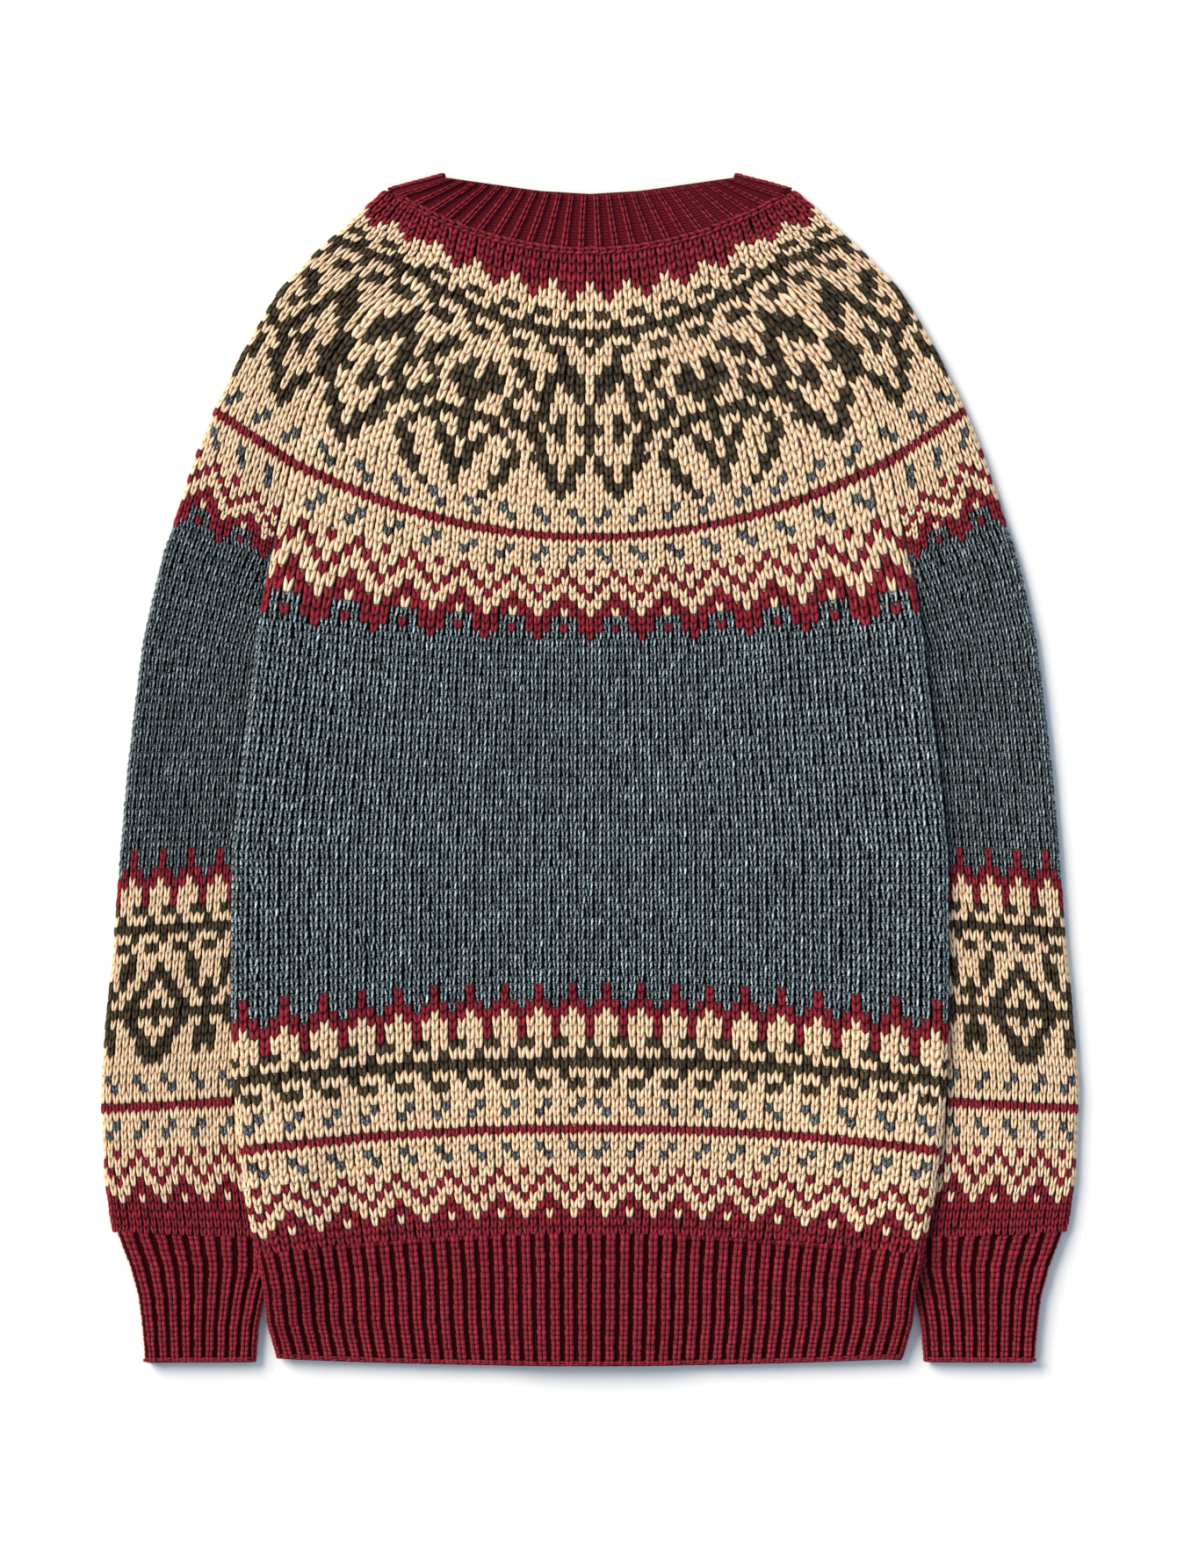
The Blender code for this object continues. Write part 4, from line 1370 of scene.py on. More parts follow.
    def rows(self) -> list[Row]:
        """All the rows, on the right."""
        solid = Solid("sleeve_right")
        lines = [self.course(solid, boundary) for boundary in range(self.chart.rows + 1)]
        rows = []
        for number, (upper, lower) in enumerate(zip(lines, lines[1:])):
            wide = table_at(self.stitch_wide, number)[0]
            shortest = min(upper[1], lower[1]), min(
                upper[0].length - upper[1], lower[0].length - lower[1])
            rounding = round if number < self.closed_from else math.floor
            counts = tuple(max(2, rounding(length / wide)) for length in shortest)
            sides = [self.sides(course, fold, number, counts) for course, fold in (upper, lower)]
            letters = [
                self.chart.letter(number, counts[0] - 1 - place, place)
                for place in range(counts[0] + counts[1])
            ]
            rows.append(Row(upper[0], lower[0], *sides, letters))
        return rows

    def showing(self, cells: Cells) -> np.ndarray:
        """Which cells show from above: neither tucked under the body nor underneath."""
        middle = cells.corners.mean(axis=(1, 2))
        body = np.interp(middle[:, 1], *np.array(BackPanel.edge).T) - self.tucked
        beside = (middle[:, 1] > self.underarm) | (middle[:, 0] > body)
        return beside & cells.facing(self.faces_out)

    def build(self, finishes: "Finishes") -> list[tuple[str, bpy.types.Object, bpy.types.Object]]:
        """Makes both sleeves.

        Args:
            finishes: The materials.

        Returns:
            For each, its side, its cloth and its stitches.
        """
        rows = self.rows()
        cells = joined_cells(rows)
        cells = cells.kept(self.showing(cells))
        made = []
        for index, (side, sense) in enumerate(SIDES):
            own_rows = rows if sense > 0 else [row.mirrored() for row in rows]
            shell = Shell(closed_from=self.closed_from, shade_under_yarn=0.5)
            cloth = shell.piece(f"sleeve_{side}_cloth", own_rows, finishes.relief)
            own_cells = cells if sense > 0 else cells.mirrored()
            # The sleeves' slate legs get painted shade, as the sleeves lie lower than the body
            knitting = Knitting(
                PLAIN_STITCH, seed=31 + index, slate_shade=0.70, slate_shape=SLIM_STITCH)
            yarn = knitting.piece(f"sleeve_{side}_stitches", own_cells, finishes.yarn)
            made.append((side, cloth, yarn))
        return made


def fold_path(inner: np.ndarray, outer: np.ndarray, both: bool) -> np.ndarray:
    """A flat path between two points, closer together where the cloth turns over at an end.

    Args:
        inner: Where it starts.
        outer: Where it ends, at a fold.
        both: Whether it starts at a fold too.

    Returns:
        The path's points.
    """
    along = unit(outer - inner)
    length = float(np.linalg.norm(outer - inner))
    turned = round_fold(7)
    start = turned[::-1] if both else np.array([0.1])
    middle = np.linspace(start[-1] + 1.5, length - turned[0] - 1.5, 26)
    reach = np.concatenate([start, middle, length - turned])
    return inner + along * reach[:, None]


# ------------------------------------------------------------------ ribs


@dataclass
class HemBack:
    """The hem's rib on the back, whose solid has a trough at each side of every rib."""

    ribs: int = 46
    row_count: int = 24
    turned: float = 3.4
    # The share of the way down, the height at the edge and at the middle, and how far out the
    # edge lies
    outline: tuple[tuple[float, float, float, float], ...] = (
        (0.0, -286.45, -274.45, 196.6), (0.28, -307.0, -300.0, 192.2),
        (0.64, -328.0, -327.0, 190.4), (1.0, -348.6, -352.6, 184.8),
    )

    def course(self, solid: Solid, boundary: int) -> Course:
        """The line above a row, through the bottoms of the troughs."""
        edge_y, middle_y, edge_x = table_at(self.outline, boundary / self.row_count)
        level = edge_x - self.turned
        place = np.linspace(-1.0, 1.0, self.ribs + 1)
        path = np.column_stack([place * level, middle_y + (edge_y - middle_y) * place**2])
        path[:, 1] = np.clip(path[:, 1], HEM_FOOT, HEM_TOP)
        points = solid.lay(path)
        turns = np.radians([30.0, 60.0, 89.0])
        ends = []
        radius = self.turned - 0.2
        for end, side in ((points[0], -1.0), (points[-1], 1.0)):
            aside = side * radius * np.sin(turns)
            fall = radius * (1.0 - np.cos(turns))
            ends.append(end + np.column_stack([aside, aside * 0.0, -fall]))
        return Course(np.concatenate([ends[0][::-1], points, ends[1]]))

    def rows(self) -> list[Row]:
        """All the rows."""
        solid = Solid("hem_rib_back")
        courses = [self.course(solid, boundary) for boundary in range(self.row_count + 1)]
        return crimson_rows(
            courses, lambda line: np.concatenate([[0.0], line.reach[3:-3], [line.length]]))

    def build(self, finishes: "Finishes") -> list[bpy.types.Object]:
        """Makes the rib's cloth, its yarn and the bound edge at its foot."""
        rows = self.rows()
        shell = Shell(depth=0.35, shade_under_yarn=1.7)
        cloth = shell.piece("hem_back_cloth", rows, finishes.rib_relief)
        knitting = Knitting(HEM_STITCH, seed=51, sway=0.012, swell=0.05)
        cells = joined_cells(rows).raised(RIB_RISE)
        ribs = knitting.piece("hem_back_ribs", cells, finishes.yarn)
        foot = rows[-1].lower
        links = EDGE_BRAID.cells(foot, self.turned, foot.length - self.turned).raised(EDGE_RISE)
        edge = Knitting(PLAIN_STITCH, seed=82).piece("hem_back_edge", links, finishes.yarn)
        return [cloth, ribs, edge]


@dataclass
class Cuff:
    """A cuff's rib tube, drawn on the right and mirrored."""

    ribs: int = 9
    row_count: int = 24
    trough_top: float = 6.9
    # The share of the way down, then x and y of the inner and of the outer fold
    outline: tuple[tuple[float, float, float, float, float], ...] = (
        (0.0, 187.0, -277.45, 282.0, -273.45), (0.26, 188.0, -296.0, 273.9, -295.0),
        (0.49, 192.7, -313.0, 269.0, -313.0), (0.72, 196.0, -330.0, 266.8, -331.0),
        (1.0, 197.5, -350.5, 265.2, -350.8),
    )

    def course(self, boundary: int) -> Course:
        """The ring above a row."""
        row = table_at(self.outline, boundary / self.row_count)
        inner, outer = row[:2], row[2:]
        along = unit(outer - inner)
        first, last = inner + along * FOLD, outer - along * FOLD
        place = np.linspace(0.0, 1.0, self.ribs + 1)[:, None]
        troughs = np.column_stack([first + (last - first) * place,
                                   np.full(self.ribs + 1, self.trough_top)])
        middle = self.trough_top / 2.0
        high, low = middle * (2.0 - EIGHTH), middle * EIGHTH
        near, far = inner + along * FOLD * EIGHTH, outer - along * FOLD * EIGHTH
        points = np.concatenate([
            [[*inner, middle], [*near, high]],
            troughs,
            [[*far, high], [*outer, middle], [*far, low], [*last, 0.0]],
            np.column_stack([last + (first - last) * place[1:-1], np.zeros(self.ribs - 1)]),
            [[*first, 0.0], [*near, low], [*inner, middle]],
        ])
        return Course(points)

    def rows(self) -> list[Row]:
        """All the rows, on the right."""
        courses = [self.course(boundary) for boundary in range(self.row_count + 1)]
        return crimson_rows(courses, self.sides)

    def sides(self, course: Course) -> np.ndarray:
        """Where the stitches' sides meet a ring: the ribs' troughs, and their like underneath."""
        reach, ribs = course.reach, self.ribs
        over, under = reach[2:3 + ribs], reach[ribs + 6:2 * ribs + 7]
        return np.concatenate([[0.0], over, under, [course.length]])

    def build(self, finishes: "Finishes") -> list[tuple[str, bpy.types.Object, ...]]:
        """Makes both cuffs: for each, its side, its cloth, its ribs and its bound edge."""
        rows = self.rows()
        cells = joined_cells(rows)
        cells = cells.kept(cells.facing(-0.2)).raised(RIB_RISE)
        foot = rows[-1].lower
        first, last = foot.reach[1] + 1.0, foot.reach[self.ribs + 3] - 1.0
        links = EDGE_BRAID.cells(foot, first, last).raised(EDGE_RISE)
        made = []
        for index, (side, sense) in enumerate(SIDES):
            right = sense > 0
            own_rows = rows if right else [row.mirrored() for row in rows]
            shell = Shell(depth=0.35, closed_from=0, shade_under_yarn=1.7)
            cloth = shell.piece(f"cuff_{side}_cloth", own_rows, finishes.rib_relief)
            knitting = Knitting(HEM_STITCH, seed=61 + index, sway=0.012, swell=0.05)
            yarn = knitting.piece(
                f"cuff_{side}_ribs", cells if right else cells.mirrored(), finishes.yarn)
            edge = Knitting(PLAIN_STITCH, seed=83 + index).piece(
                f"cuff_{side}_edge", links if right else links.mirrored(), finishes.yarn)
            made.append((side, cloth, yarn, edge))
        return made


@dataclass
class Neckband:
    """The neckband: over the back, round the fold beside each sleeve, and under to the bands."""

    ribs: int = 12
    row_count: int = 9
    trough_top: float = 6.9
    seam: float = 0.45
    # The right half of its seam on the back, from the middle to the fold
    back_seam: tuple[tuple[float, float], ...] = (
        (0.0, 305.0), (0.13, 305.2), (0.28, 306.6), (0.5, 310.2), (0.68, 314.7), (0.84, 319.8),
        (1.0, 325.9),
    )
    sleeve_corner: tuple[float, float] = (119.1, 340.2)
    back_reach: float = 92.4
    top_back: tuple[tuple[float, float], ...] = (
        (0.0, 339.4), (30.0, 341.2), (58.0, 345.2), (85.2, 349.2),
    )
    front_seam: tuple[tuple[float, float], ...] = (
        (119.1, 340.2), (105.6, 297.2), (98.0, 278.0), (85.0, 254.0), (70.0, 236.5),
        (52.0, 224.5), (34.0, 218.6), (15.3, 217.4),
    )
    top_front: tuple[tuple[float, float], ...] = (
        (85.2, 349.2), (73.0, 312.0), (58.0, 278.0), (38.0, 257.0), (15.3, 249.5),
    )
    fold_out: tuple[float, float] = (0.305, 0.9524)
    braid_reach: float = 126.5
    highest: float = 352.0
    margin: float = 0.015

    def along(self, path: Sequence[tuple[float, float]], shares: np.ndarray) -> np.ndarray:
        """Points at these shares of a flat path's length."""
        line = Course(np.column_stack([np.array(path, float), np.zeros(len(path))]))
        return line.at(shares * line.length)[:, :2]

    def seam_path(self) -> list[tuple[float, float]]:
        """The right half of the seam on the back, with its end beside the sleeve."""
        path = [(share * self.back_reach, height) for share, height in self.back_seam]
        lifted = [(x, y + self.seam) for x, y in path]
        return lifted + [(94.2, 326.9), self.sleeve_corner]

    def half(self, solid: Solid, share_up: float) -> np.ndarray:
        """One line of the right half, at a share of the way from the seam to the free edge.

        Args:
            solid: The neckband's solid.
            share_up: 0 at the seam and 1 at the free edge.

        Returns:
            The line from the middle of the back to the front band.
        """
        shares = np.linspace(0.0, 1.0, self.ribs + 1)
        base, top = self.along(self.seam_path(), shares), self.along(self.top_back, shares)
        back = base + (top - base) * share_up
        upper = solid.lay(np.clip(back, None, [np.inf, self.highest]))
        turns = np.radians([25.0, 55.0, 90.0, 125.0, 155.0])
        out = np.array(self.fold_out)
        fold = np.column_stack([
            back[-1] + out * FOLD * np.sin(turns)[:, None] * 0.97,
            MIDDLE + (upper[-1, 2] - MIDDLE) * np.cos(turns),
        ])
        shares = np.linspace(0.0, 1.0, 19)
        base, top = self.along(self.front_seam, shares), self.along(self.top_front, shares)
        lower = solid.lay(base + (top - base) * np.clip(share_up, 0.02, 0.98), from_above=False)
        return np.concatenate([upper, fold, lower])

    def rows(self) -> list[Row]:
        """All the rows, from the free edge down to the seam."""
        solid = Solid("neckband")
        courses = []
        for boundary in range(self.row_count + 1):
            share_up = min(1.0 - self.margin, max(self.margin, 1.0 - boundary / self.row_count))
            half = self.half(solid, share_up)
            other = self.half_on_left(solid, share_up)
            courses.append(Course(np.concatenate([other[:0:-1], half])))
        count = len(courses[0].points)
        keep = [index for index in range(count) if not self.in_fold(abs(index - count // 2))]
        return crimson_rows(courses, lambda line: line.reach[keep])

    def half_on_left(self, solid: Solid, share_up: float) -> np.ndarray:
        """The same line on the left, where the lower layer climbs to the button band."""
        line = self.half(solid, share_up) * FLIP
        first = self.ribs + 6
        lower = solid.lay(line[first:, :2], from_above=False)
        return np.concatenate([line[:first], lower])

    def in_fold(self, place: int) -> bool:
        """Whether a point of a half line is one of those inside the fold."""
        return self.ribs < place <= self.ribs + 5 and place != self.ribs + 3

    def build(self, finishes: "Finishes") -> list[bpy.types.Object]:
        """Makes the neckband's cloth, its ribs and the braid over its seam."""
        rows = self.rows()
        cloth = Shell(depth=0.35).piece("neckband_cloth", rows, finishes.rib_relief)
        cells = joined_cells(rows)
        cells = cells.kept(cells.facing(0.3))
        knitting = Knitting(NECK_STITCH, seed=71, sway=0.010, swell=0.06)
        ribs = knitting.piece("neckband_ribs", cells, finishes.yarn)
        seam = rows[-1].lower
        middle = seam.length / 2.0
        links = NECK_BRAID.cells(seam, middle - self.braid_reach, middle + self.braid_reach)
        braid = Knitting(PLAIN_STITCH, seed=81, swell=0.05).piece(
            "neck_braid", links, finishes.yarn)
        return [cloth, ribs, braid]


@dataclass
class Braid:
    """A line of linked loops that covers a seam or binds an edge."""

    width: float
    link: float
    rise: float

    def cells(self, course: Course, first: float, last: float) -> Cells:
        """The cells of the braid's links.

        Args:
            course: The line that it follows.
            first: How far along the line it starts.
            last: How far along it ends.

        Returns:
            One cell for each link, which lies flat.
        """
        count = int((last - first) / self.link)
        lengths = np.linspace(first, last, count + 1)
        out = np.array([0.0, 0.0, 1.0])
        centre = course.at(lengths) + out * self.rise
        aside = unit(np.cross(out, course.way(lengths, 3.0))) * self.width / 2
        lines = (centre + aside, centre - aside)
        corners = np.stack([np.stack([line[:-1], line[1:]], axis=1) for line in lines], axis=1)
        return Cells(corners, np.tile(out, (count, 2, 2, 1)), [Yarn.CRIMSON.value] * count)


NECK_BRAID = Braid(width=5.4, link=4.8, rise=1.0)
EDGE_BRAID = Braid(width=2.8, link=4.2, rise=1.0)


# ------------------------------------------------------------------ fronts


def underside(solid: Solid, reach: np.ndarray, heights: np.ndarray, sense: float) -> Course:
    """A line on the side that rests, as seen from below.

    Args:
        solid: The solid that it lies on.
        reach: How far from the middle each point is.
        heights: The points' heights.
        sense: -1 or 1, as in SIDES.

    Returns:
        The line, which runs towards the lower x.
    """
    points = solid.lay(np.column_stack([reach * sense, heights]), from_above=False)
    return Course(points[::-1] if sense > 0 else points)


@dataclass
class Front:
    """One front, which rests on the surface: rows from its neck edge down to the hem."""

    side: str
    sense: float
    chart: Chart = BODY_CHART
    stitch_wide: float = 4.9
    # The edge's distance from the middle at each height, from the hem up
    edge: tuple[tuple[float, float], ...] = BackPanel.edge[:14] + (
        (143.0, 185.0), (165.0, 180.0), (188.0, 174.5), (211.0, 168.0), (233.0, 159.0),
        (258.0, 142.0), (280.0, 122.0), (297.0, 105.0),
    )
    # Rows against the height at the edge and at the middle
    levels: tuple[tuple[float, float, float], ...] = (
        (-0.5, 296.9, 285.0), (8.0, 277.0, 262.0), (30.0, 171.0, 146.0), (35.0, 145.0, 122.0),
        (42.0, 97.0, 83.5), (60.0, 8.2, 1.8), (75.0, -65.4, -64.2), (90.0, -139.0, -128.2),
        (98.0, -184.0, -172.9), (105.0, -225.0, -211.9), (115.0, -275.0, -261.3),
        (117.5, -286.0, -274.0),
    )
    # The neck edge: its height at each distance from the middle
    neck: tuple[tuple[float, float], ...] = (
        (0.0, 216.8), (34.0, 218.0), (52.0, 224.0), (70.0, 236.0), (85.0, 253.5),
        (98.0, 277.5), (105.0, 296.9),
    )

    def course(self, solid: Solid, boundary: int) -> Course:
        """The line above a row, seen from below: from right to left on the wearer."""
        edge_y, middle_y = table_at(self.levels, boundary - 0.5)
        edge_x = table_at(self.edge, edge_y)[0]
        inside = np.linspace(BAND_EDGE, edge_x - 0.3, 400)
        heights = middle_y + (edge_y - middle_y) * (inside / edge_x) ** 2
        neck = np.interp(inside, *np.array(self.neck).T)
        cloth = inside[heights <= neck]
        start = cloth[0] if len(cloth) else edge_x - 1.0
        flat_end = max(start + 0.3, edge_x - FOLD)
        turned = edge_x - round_fold(6)
        reach = np.unique(
            np.concatenate([np.linspace(start, flat_end, 40), turned[turned > start]]))
        heights = middle_y + (edge_y - middle_y) * (reach / edge_x) ** 2
        return underside(solid, reach, heights, self.sense)

    def rows(self) -> list[Row]:
        """All the rows."""
        solid = Solid(f"front_{self.side}")
        courses = [self.course(solid, boundary) for boundary in range(self.chart.rows + 1)]
        rows = []
        for number, (upper, lower) in enumerate(zip(courses, courses[1:])):
            length = (upper.length + lower.length) / 2.0
            count = max(1, round(length / self.stitch_wide))
            sides = [np.linspace(0.0, course.length, count + 1) for course in (upper, lower)]
            nearest = min(abs(upper.points[0, 0]), abs(upper.points[-1, 0]))
            skipped = round(nearest / self.stitch_wide)
            numbers = range(skipped, skipped + count)[::-1 if self.sense > 0 else 1]
            letters = [self.chart.letter(number, stitch, stitch) for stitch in numbers]
            rows.append(Row(upper, lower, *sides, letters))
        return rows

    def build(self, finishes: "Finishes") -> bpy.types.Object:
        """Makes the front's cloth."""
        shell = Shell(depth=0.0, wall=2.2)
        return shell.piece(f"front_{self.side}_cloth", self.rows(), finishes.relief)


@dataclass
class HemFront:
    """The hem's rib on one front."""

    side: str
    sense: float
    ribs: int = 20
    row_count: int = 24
    outline: tuple[tuple[float, float, float, float], ...] = HemBack.outline

    def course(self, solid: Solid, boundary: int) -> Course:
        """The line above a row, seen from below."""
        edge_y, middle_y, edge_x = table_at(self.outline, boundary / self.row_count)
        flat = np.linspace(BAND_EDGE, edge_x - FOLD - 0.5, 48)
        reach = np.concatenate([flat, edge_x - round_fold(6)])
        level = edge_x - HemBack.turned
        height = middle_y + (edge_y - middle_y) * (reach / level).clip(0, 1) ** 2
        return underside(solid, reach, height.clip(HEM_FOOT, HEM_TOP), self.sense)

    def build(self, finishes: "Finishes") -> bpy.types.Object:
        """Makes the rib's cloth."""
        solid = Solid(f"hem_rib_front_{self.side}")
        courses = [self.course(solid, boundary) for boundary in range(self.row_count + 1)]
        rows = crimson_rows(courses, lambda line: np.linspace(0.0, line.length, self.ribs + 1))
        shell = Shell(depth=0.0, wall=2.2)
        return shell.piece(f"hem_front_{self.side}_cloth", rows, finishes.rib_relief)


@dataclass
class FrontBand:
    """A band beside the opening, as a rib strip that is drawn from its own solid's form."""

    node: str
    grain: float = 6.0

    def build(self, finishes: "Finishes") -> bpy.types.Object:
        """Copies the band's form, closes it up, cuts it finer and dresses it."""
        shape = bmesh.new()
        shape.from_mesh(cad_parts[self.node].data)
        bmesh.ops.remove_doubles(shape, verts=shape.verts, dist=1e-6)
        low, high = (corner.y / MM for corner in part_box(self.node))
        for height in np.arange(low + self.grain, high - 1.0, self.grain):
            everything = shape.verts[:] + shape.edges[:] + shape.faces[:]
            bmesh.ops.bisect_plane(
                shape, geom=everything, plane_co=(0.0, height * MM, 0.0), plane_no=(0.0, 1.0, 0.0)
            )
        mesh = mesh_of(f"{self.node}_knit", shape)
        mesh.shade_smooth()
        mesh.set_sharp_from_angle(angle=math.radians(40.0))
        return new_object(f"{self.node}_knit", mesh, finishes.band_relief)


@dataclass
class Button:
    """A four-hole button with a raised rim, sewn on with wool, its face down."""

    number: int
    radius: float = 9.0
    thickness: float = 2.4
    rim: float = 1.5
    dish: float = 0.55
    hole_ring: float = 2.1
    hole_radius: float = 0.75
    first_y: float = -336.0
    last_y: float = 232.0
    count: int = 7

    @property
    def height(self) -> float:
        """The button's place along the band."""
        return self.first_y + (self.last_y - self.first_y) * (self.number - 1) / (self.count - 1)

    @property
    def hole_reach(self) -> float:
        """How far each hole's centre lies from the button's middle lines."""
        return self.hole_ring * 0.7071

    def disc(self) -> bmesh.types.BMesh:
        """The turned disc, without its holes."""
        profile = (
            (0.0, self.dish), (self.radius - self.rim - 1.0, self.dish),
            (self.radius - self.rim, self.dish * 0.45), (self.radius - self.rim + 0.35, 0.08),
            (self.radius - 0.75, 0.0), (self.radius - 0.25, 0.18), (self.radius, 0.7),
            (self.radius, self.thickness - 0.6), (self.radius - 0.5, self.thickness),
            (0.0, self.thickness),
        )
        shape = bmesh.new()
        line = [shape.verts.new((x * MM, 0.0, z * MM)) for x, z in profile]
        edges = [shape.edges.new(pair) for pair in zip(line, line[1:])]
        bmesh.ops.spin(
            shape, geom=line + edges, cent=(0, 0, 0), axis=(0, 0, 1), angle=math.tau, steps=48,
            use_merge=True,
        )
        bmesh.ops.remove_doubles(shape, verts=shape.verts, dist=1e-6)
        bmesh.ops.recalc_face_normals(shape, faces=shape.faces)
        return shape

    def build(self, finishes: "Finishes") -> tuple[bpy.types.Object, bpy.types.Object]:
        """Makes the button and its sewing thread."""
        shape = self.disc()
        bmesh.ops.translate(shape, verts=shape.verts, vec=(0.0, self.height * MM, 0.0))
        mesh = mesh_of(f"button_{self.number}_horn", shape)
        mesh.shade_smooth()
        horn = new_object(f"button_{self.number}_horn", mesh, finishes.horn)
        cutter = self.holes()
        cut = horn.modifiers.new("holes", "BOOLEAN")
        cut.operation = "DIFFERENCE"
        cut.solver = "EXACT"
        cut.object = cutter
        bpy.context.view_layer.update()
        graph = bpy.context.evaluated_depsgraph_get()
        done = bpy.data.meshes.new_from_object(horn.evaluated_get(graph))
        horn.modifiers.clear()
        horn.data = done
        done.shade_smooth()
        done.set_sharp_from_angle(angle=math.radians(35.0))
        bpy.data.objects.remove(cutter)
        return horn, self.thread(finishes)

    def holes(self) -> bpy.types.Object:
        """Four short rods where the holes go."""
        shape = bmesh.new()
        for turn in range(4):
            angle = math.radians(45.0 + 90.0 * turn)
            place = Matrix.Translation((
                self.hole_ring * math.cos(angle) * MM,
                (self.hole_ring * math.sin(angle) + self.height) * MM,
                self.thickness / 2 * MM,
            ))
            bmesh.ops.create_cone(
                shape, cap_ends=True, segments=20, radius1=self.hole_radius * MM,
                radius2=self.hole_radius * MM, depth=6.0 * MM, matrix=place,
            )
        cutter = bpy.data.objects.new("holes", mesh_of("holes", shape))
        bpy.context.scene.collection.objects.link(cutter)
        return cutter

    def thread(self, finishes: "Finishes") -> bpy.types.Object:
        """Two bundles of thread from hole to hole."""
        shape = bmesh.new()
        for side in (-1.0, 1.0):
            for strand in (-0.28, 0.0, 0.28):
                self.strand(shape, side * self.hole_reach + strand)
        mesh = mesh_of(f"button_{self.number}_thread", shape)
        mesh.shade_smooth()
        return new_object(f"button_{self.number}_thread", mesh, finishes.thread)

    def strand(self, shape: bmesh.types.BMesh, x: float) -> None:
        """One arched strand across the dished face, from one hole down into the other."""
        reach = self.hole_reach
        places = ((-reach, 1.9), (-reach * 0.97, 0.62), (-reach * 0.5, 0.3), (0.0, 0.24),
                  (reach * 0.5, 0.3), (reach * 0.97, 0.62), (reach, 1.9))
        ring = bmesh.ops.create_circle(shape, segments=6, radius=0.17 * MM)["verts"]
        first = places[0]
        bmesh.ops.translate(shape, verts=ring, vec=Vector(
            (x, first[0] + self.height, first[1])) * MM)
        edges = list({edge for vertex in ring for edge in vertex.link_edges})
        for before, here in zip(places, places[1:]):
            made = bmesh.ops.extrude_edge_only(shape, edges=edges)["geom"]
            ring = [item for item in made if isinstance(item, bmesh.types.BMVert)]
            edges = [item for item in made if isinstance(item, bmesh.types.BMEdge)]
            bmesh.ops.translate(shape, verts=ring, vec=Vector(
                (0.0, here[0] - before[0], here[1] - before[1])) * MM)
            centre = Vector((x, here[0] + self.height, here[1])) * MM
            ahead = Vector((0.0, here[0] - before[0], here[1] - before[1])).normalized()
            if abs(ahead.y) > 0.6:
                for vertex in ring:
                    vertex.co.y = centre.y


@dataclass
class Finishes:
    """The materials, made once."""

    yarn: bpy.types.Material = field(default_factory=lambda: WoolYarn().material())
    relief: bpy.types.Material = field(default_factory=lambda: ReliefKnit().material())
    rib_relief: bpy.types.Material = field(
        default_factory=lambda: ReliefKnit("rib_relief", True).material()
    )
    band_relief: bpy.types.Material = field(default_factory=lambda: BandRib().material())
    horn: bpy.types.Material = field(default_factory=lambda: Horn().material())
    thread: bpy.types.Material = field(default_factory=lambda: Thread().material())


# ------------------------------------------------------------------ studio


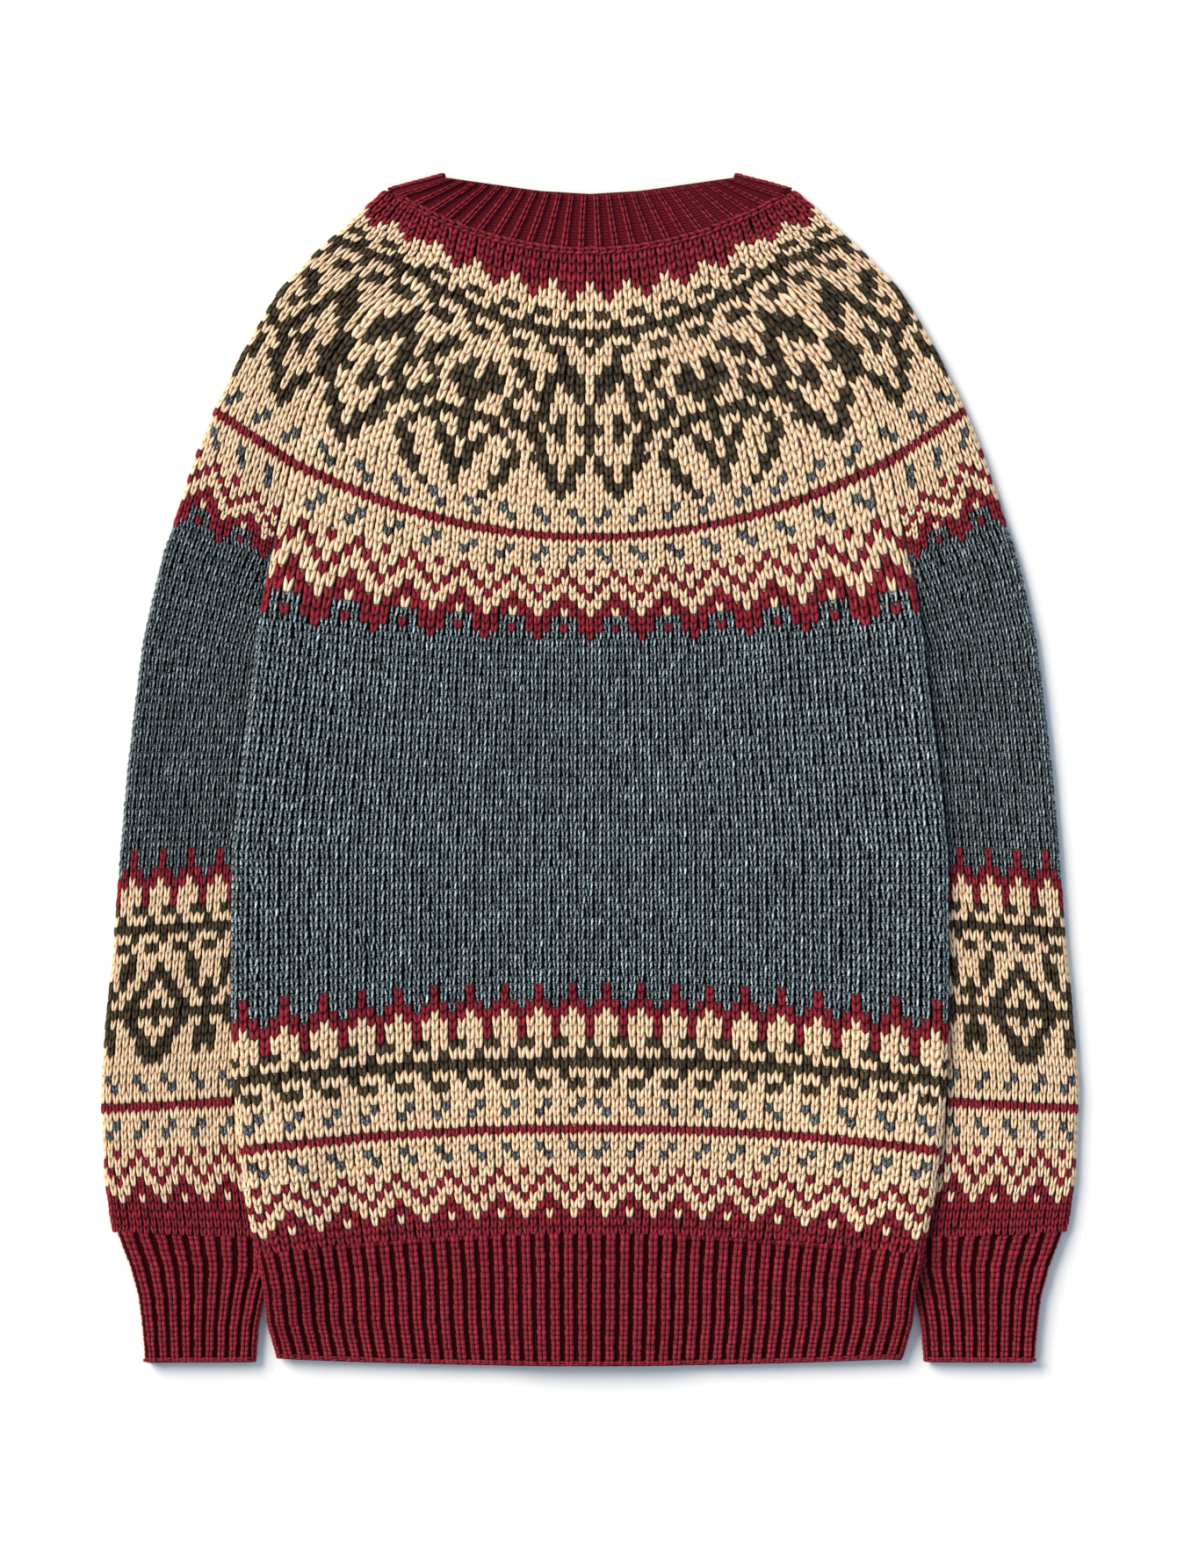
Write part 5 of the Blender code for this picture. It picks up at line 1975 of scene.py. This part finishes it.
@dataclass(frozen=True)
class Studio:
    """The pale floor, the soft light and the camera straight overhead."""

    image_wide: int = 1340
    image_tall: int = 1785
    pixel: float = 0.00052
    middle_x: float = 671.5
    middle_y: float = 875.5
    height: float = 3.2
    floor_colour: tuple[float, float, float, float] = (0.93, 0.93, 0.925, 1.0)
    sky: tuple[float, float, float, float] = (0.70, 0.84, 1.0, 1.0)
    sky_strength: float = 0.58
    sun: tuple[float, float, float] = (1.0, 0.90, 0.786)
    sun_strength: float = 4.35
    sun_from: tuple[float, float, float] = (-1.75, 1.45, 1.6)
    sun_angle: float = 38.0
    sensor: float = 24.0
    sees_to: float = 40.0
    floor_reach: float = 14.0
    floor_gap: float = 0.0005

    def camera(self) -> None:
        """Places the camera so that the photograph's pixels fall on the same places."""
        data = bpy.data.cameras.new("camera")
        data.sensor_fit = "VERTICAL"
        data.sensor_height = self.sensor
        tall = self.image_tall * self.pixel
        data.lens = self.sensor * self.height / tall
        data.clip_end = self.sees_to
        camera = bpy.data.objects.new("camera", data)
        x = (self.image_wide / 2 - self.middle_x) * self.pixel
        y = (self.middle_y - self.image_tall / 2) * self.pixel
        camera.location = (x, y, self.height)
        bpy.context.scene.collection.objects.link(camera)
        bpy.context.scene.camera = camera

    def lamp(self) -> None:
        """The broad, even light from the upper left."""
        data = bpy.data.lights.new("sun", "SUN")
        data.angle = math.radians(self.sun_angle)
        data.energy = self.sun_strength
        data.color = self.sun
        lamp = bpy.data.objects.new("sun", data)
        lamp.rotation_euler = (-Vector(self.sun_from)).to_track_quat("-Z", "Y").to_euler()
        bpy.context.scene.collection.objects.link(lamp)

    def build(self) -> None:
        """Makes the floor, the lamp and the camera."""
        shape = bmesh.new()
        bmesh.ops.create_grid(shape, x_segments=1, y_segments=1, size=self.floor_reach)
        bmesh.ops.translate(shape, verts=shape.verts, vec=(0.0, 0.0, -self.floor_gap))
        nodes = Nodes("floor")
        nodes.dress(Base_Color=self.floor_colour, Roughness=0.9, Specular_IOR_Level=0.1)
        new_object("floor", mesh_of("floor", shape), nodes.material)
        world = bpy.data.worlds.new("studio")
        world.use_nodes = True
        background = world.node_tree.nodes["Background"].inputs
        background["Color"].default_value = self.sky
        background["Strength"].default_value = self.sky_strength
        bpy.context.scene.world = world
        bpy.context.scene.view_settings.view_transform = "Standard"
        self.lamp()
        self.camera()


@dataclass(frozen=True)
class Cut:
    """The flat size of a piece of cloth, in metres, and its area where it isn't a rectangle."""

    wide: float
    long: float
    area: float | None = None


def hand_over(
    node: str,
    cloth: bpy.types.Object,
    yarns: Sequence[bpy.types.Object],
) -> None:
    """Args:
        node: The solid's name.
        cloth: The cloth.
        yarns: The yarn on it.
    """
    for piece in (cloth, *yarns):
        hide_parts(node)
        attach(piece, "root")
        LOG.info("%s: %d faces", piece.name, len(piece.data.polygons))
    list(yarns)


def dress_up() -> None:
    """Builds every sub-assembly in order and logs the faces of each piece but the buttons."""
    Studio().build()
    finishes = Finishes()
    cloth, *yarns = BackPanel().build(finishes)
    hand_over("back", cloth, yarns)
    for side, cloth, yarn in Sleeve().build(finishes):
        hand_over(f"sleeve_{side}", cloth, [yarn])
    cloth, *yarns = HemBack().build(finishes)
    hand_over("hem_rib_back", cloth, yarns)
    for side, cloth, *yarns in Cuff().build(finishes):
        hand_over(f"cuff_{side}", cloth, yarns)
    cloth, *yarns = Neckband().build(finishes)
    hand_over("neckband", cloth, yarns)
    for side, sense in SIDES:
        front = Front(side, sense).build(finishes)
        hand_over(f"front_{side}", front, [])
        hem = HemFront(side, sense).build(finishes)
        hand_over(f"hem_rib_front_{side}", hem, [])
    for node in ("buttonhole_band", "button_band"):
        hand_over(node, FrontBand(node).build(finishes), [])
    for number in range(1, Button.count + 1):
        for piece in Button(number).build(finishes):
            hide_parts(f"button_{number}")
            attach(piece, "root")


def main() -> None:
    """Runs the whole scene."""
    logging.basicConfig(level=logging.INFO, format="%(message)s")
    dress_up()


if __name__ == "__main__":
    main()
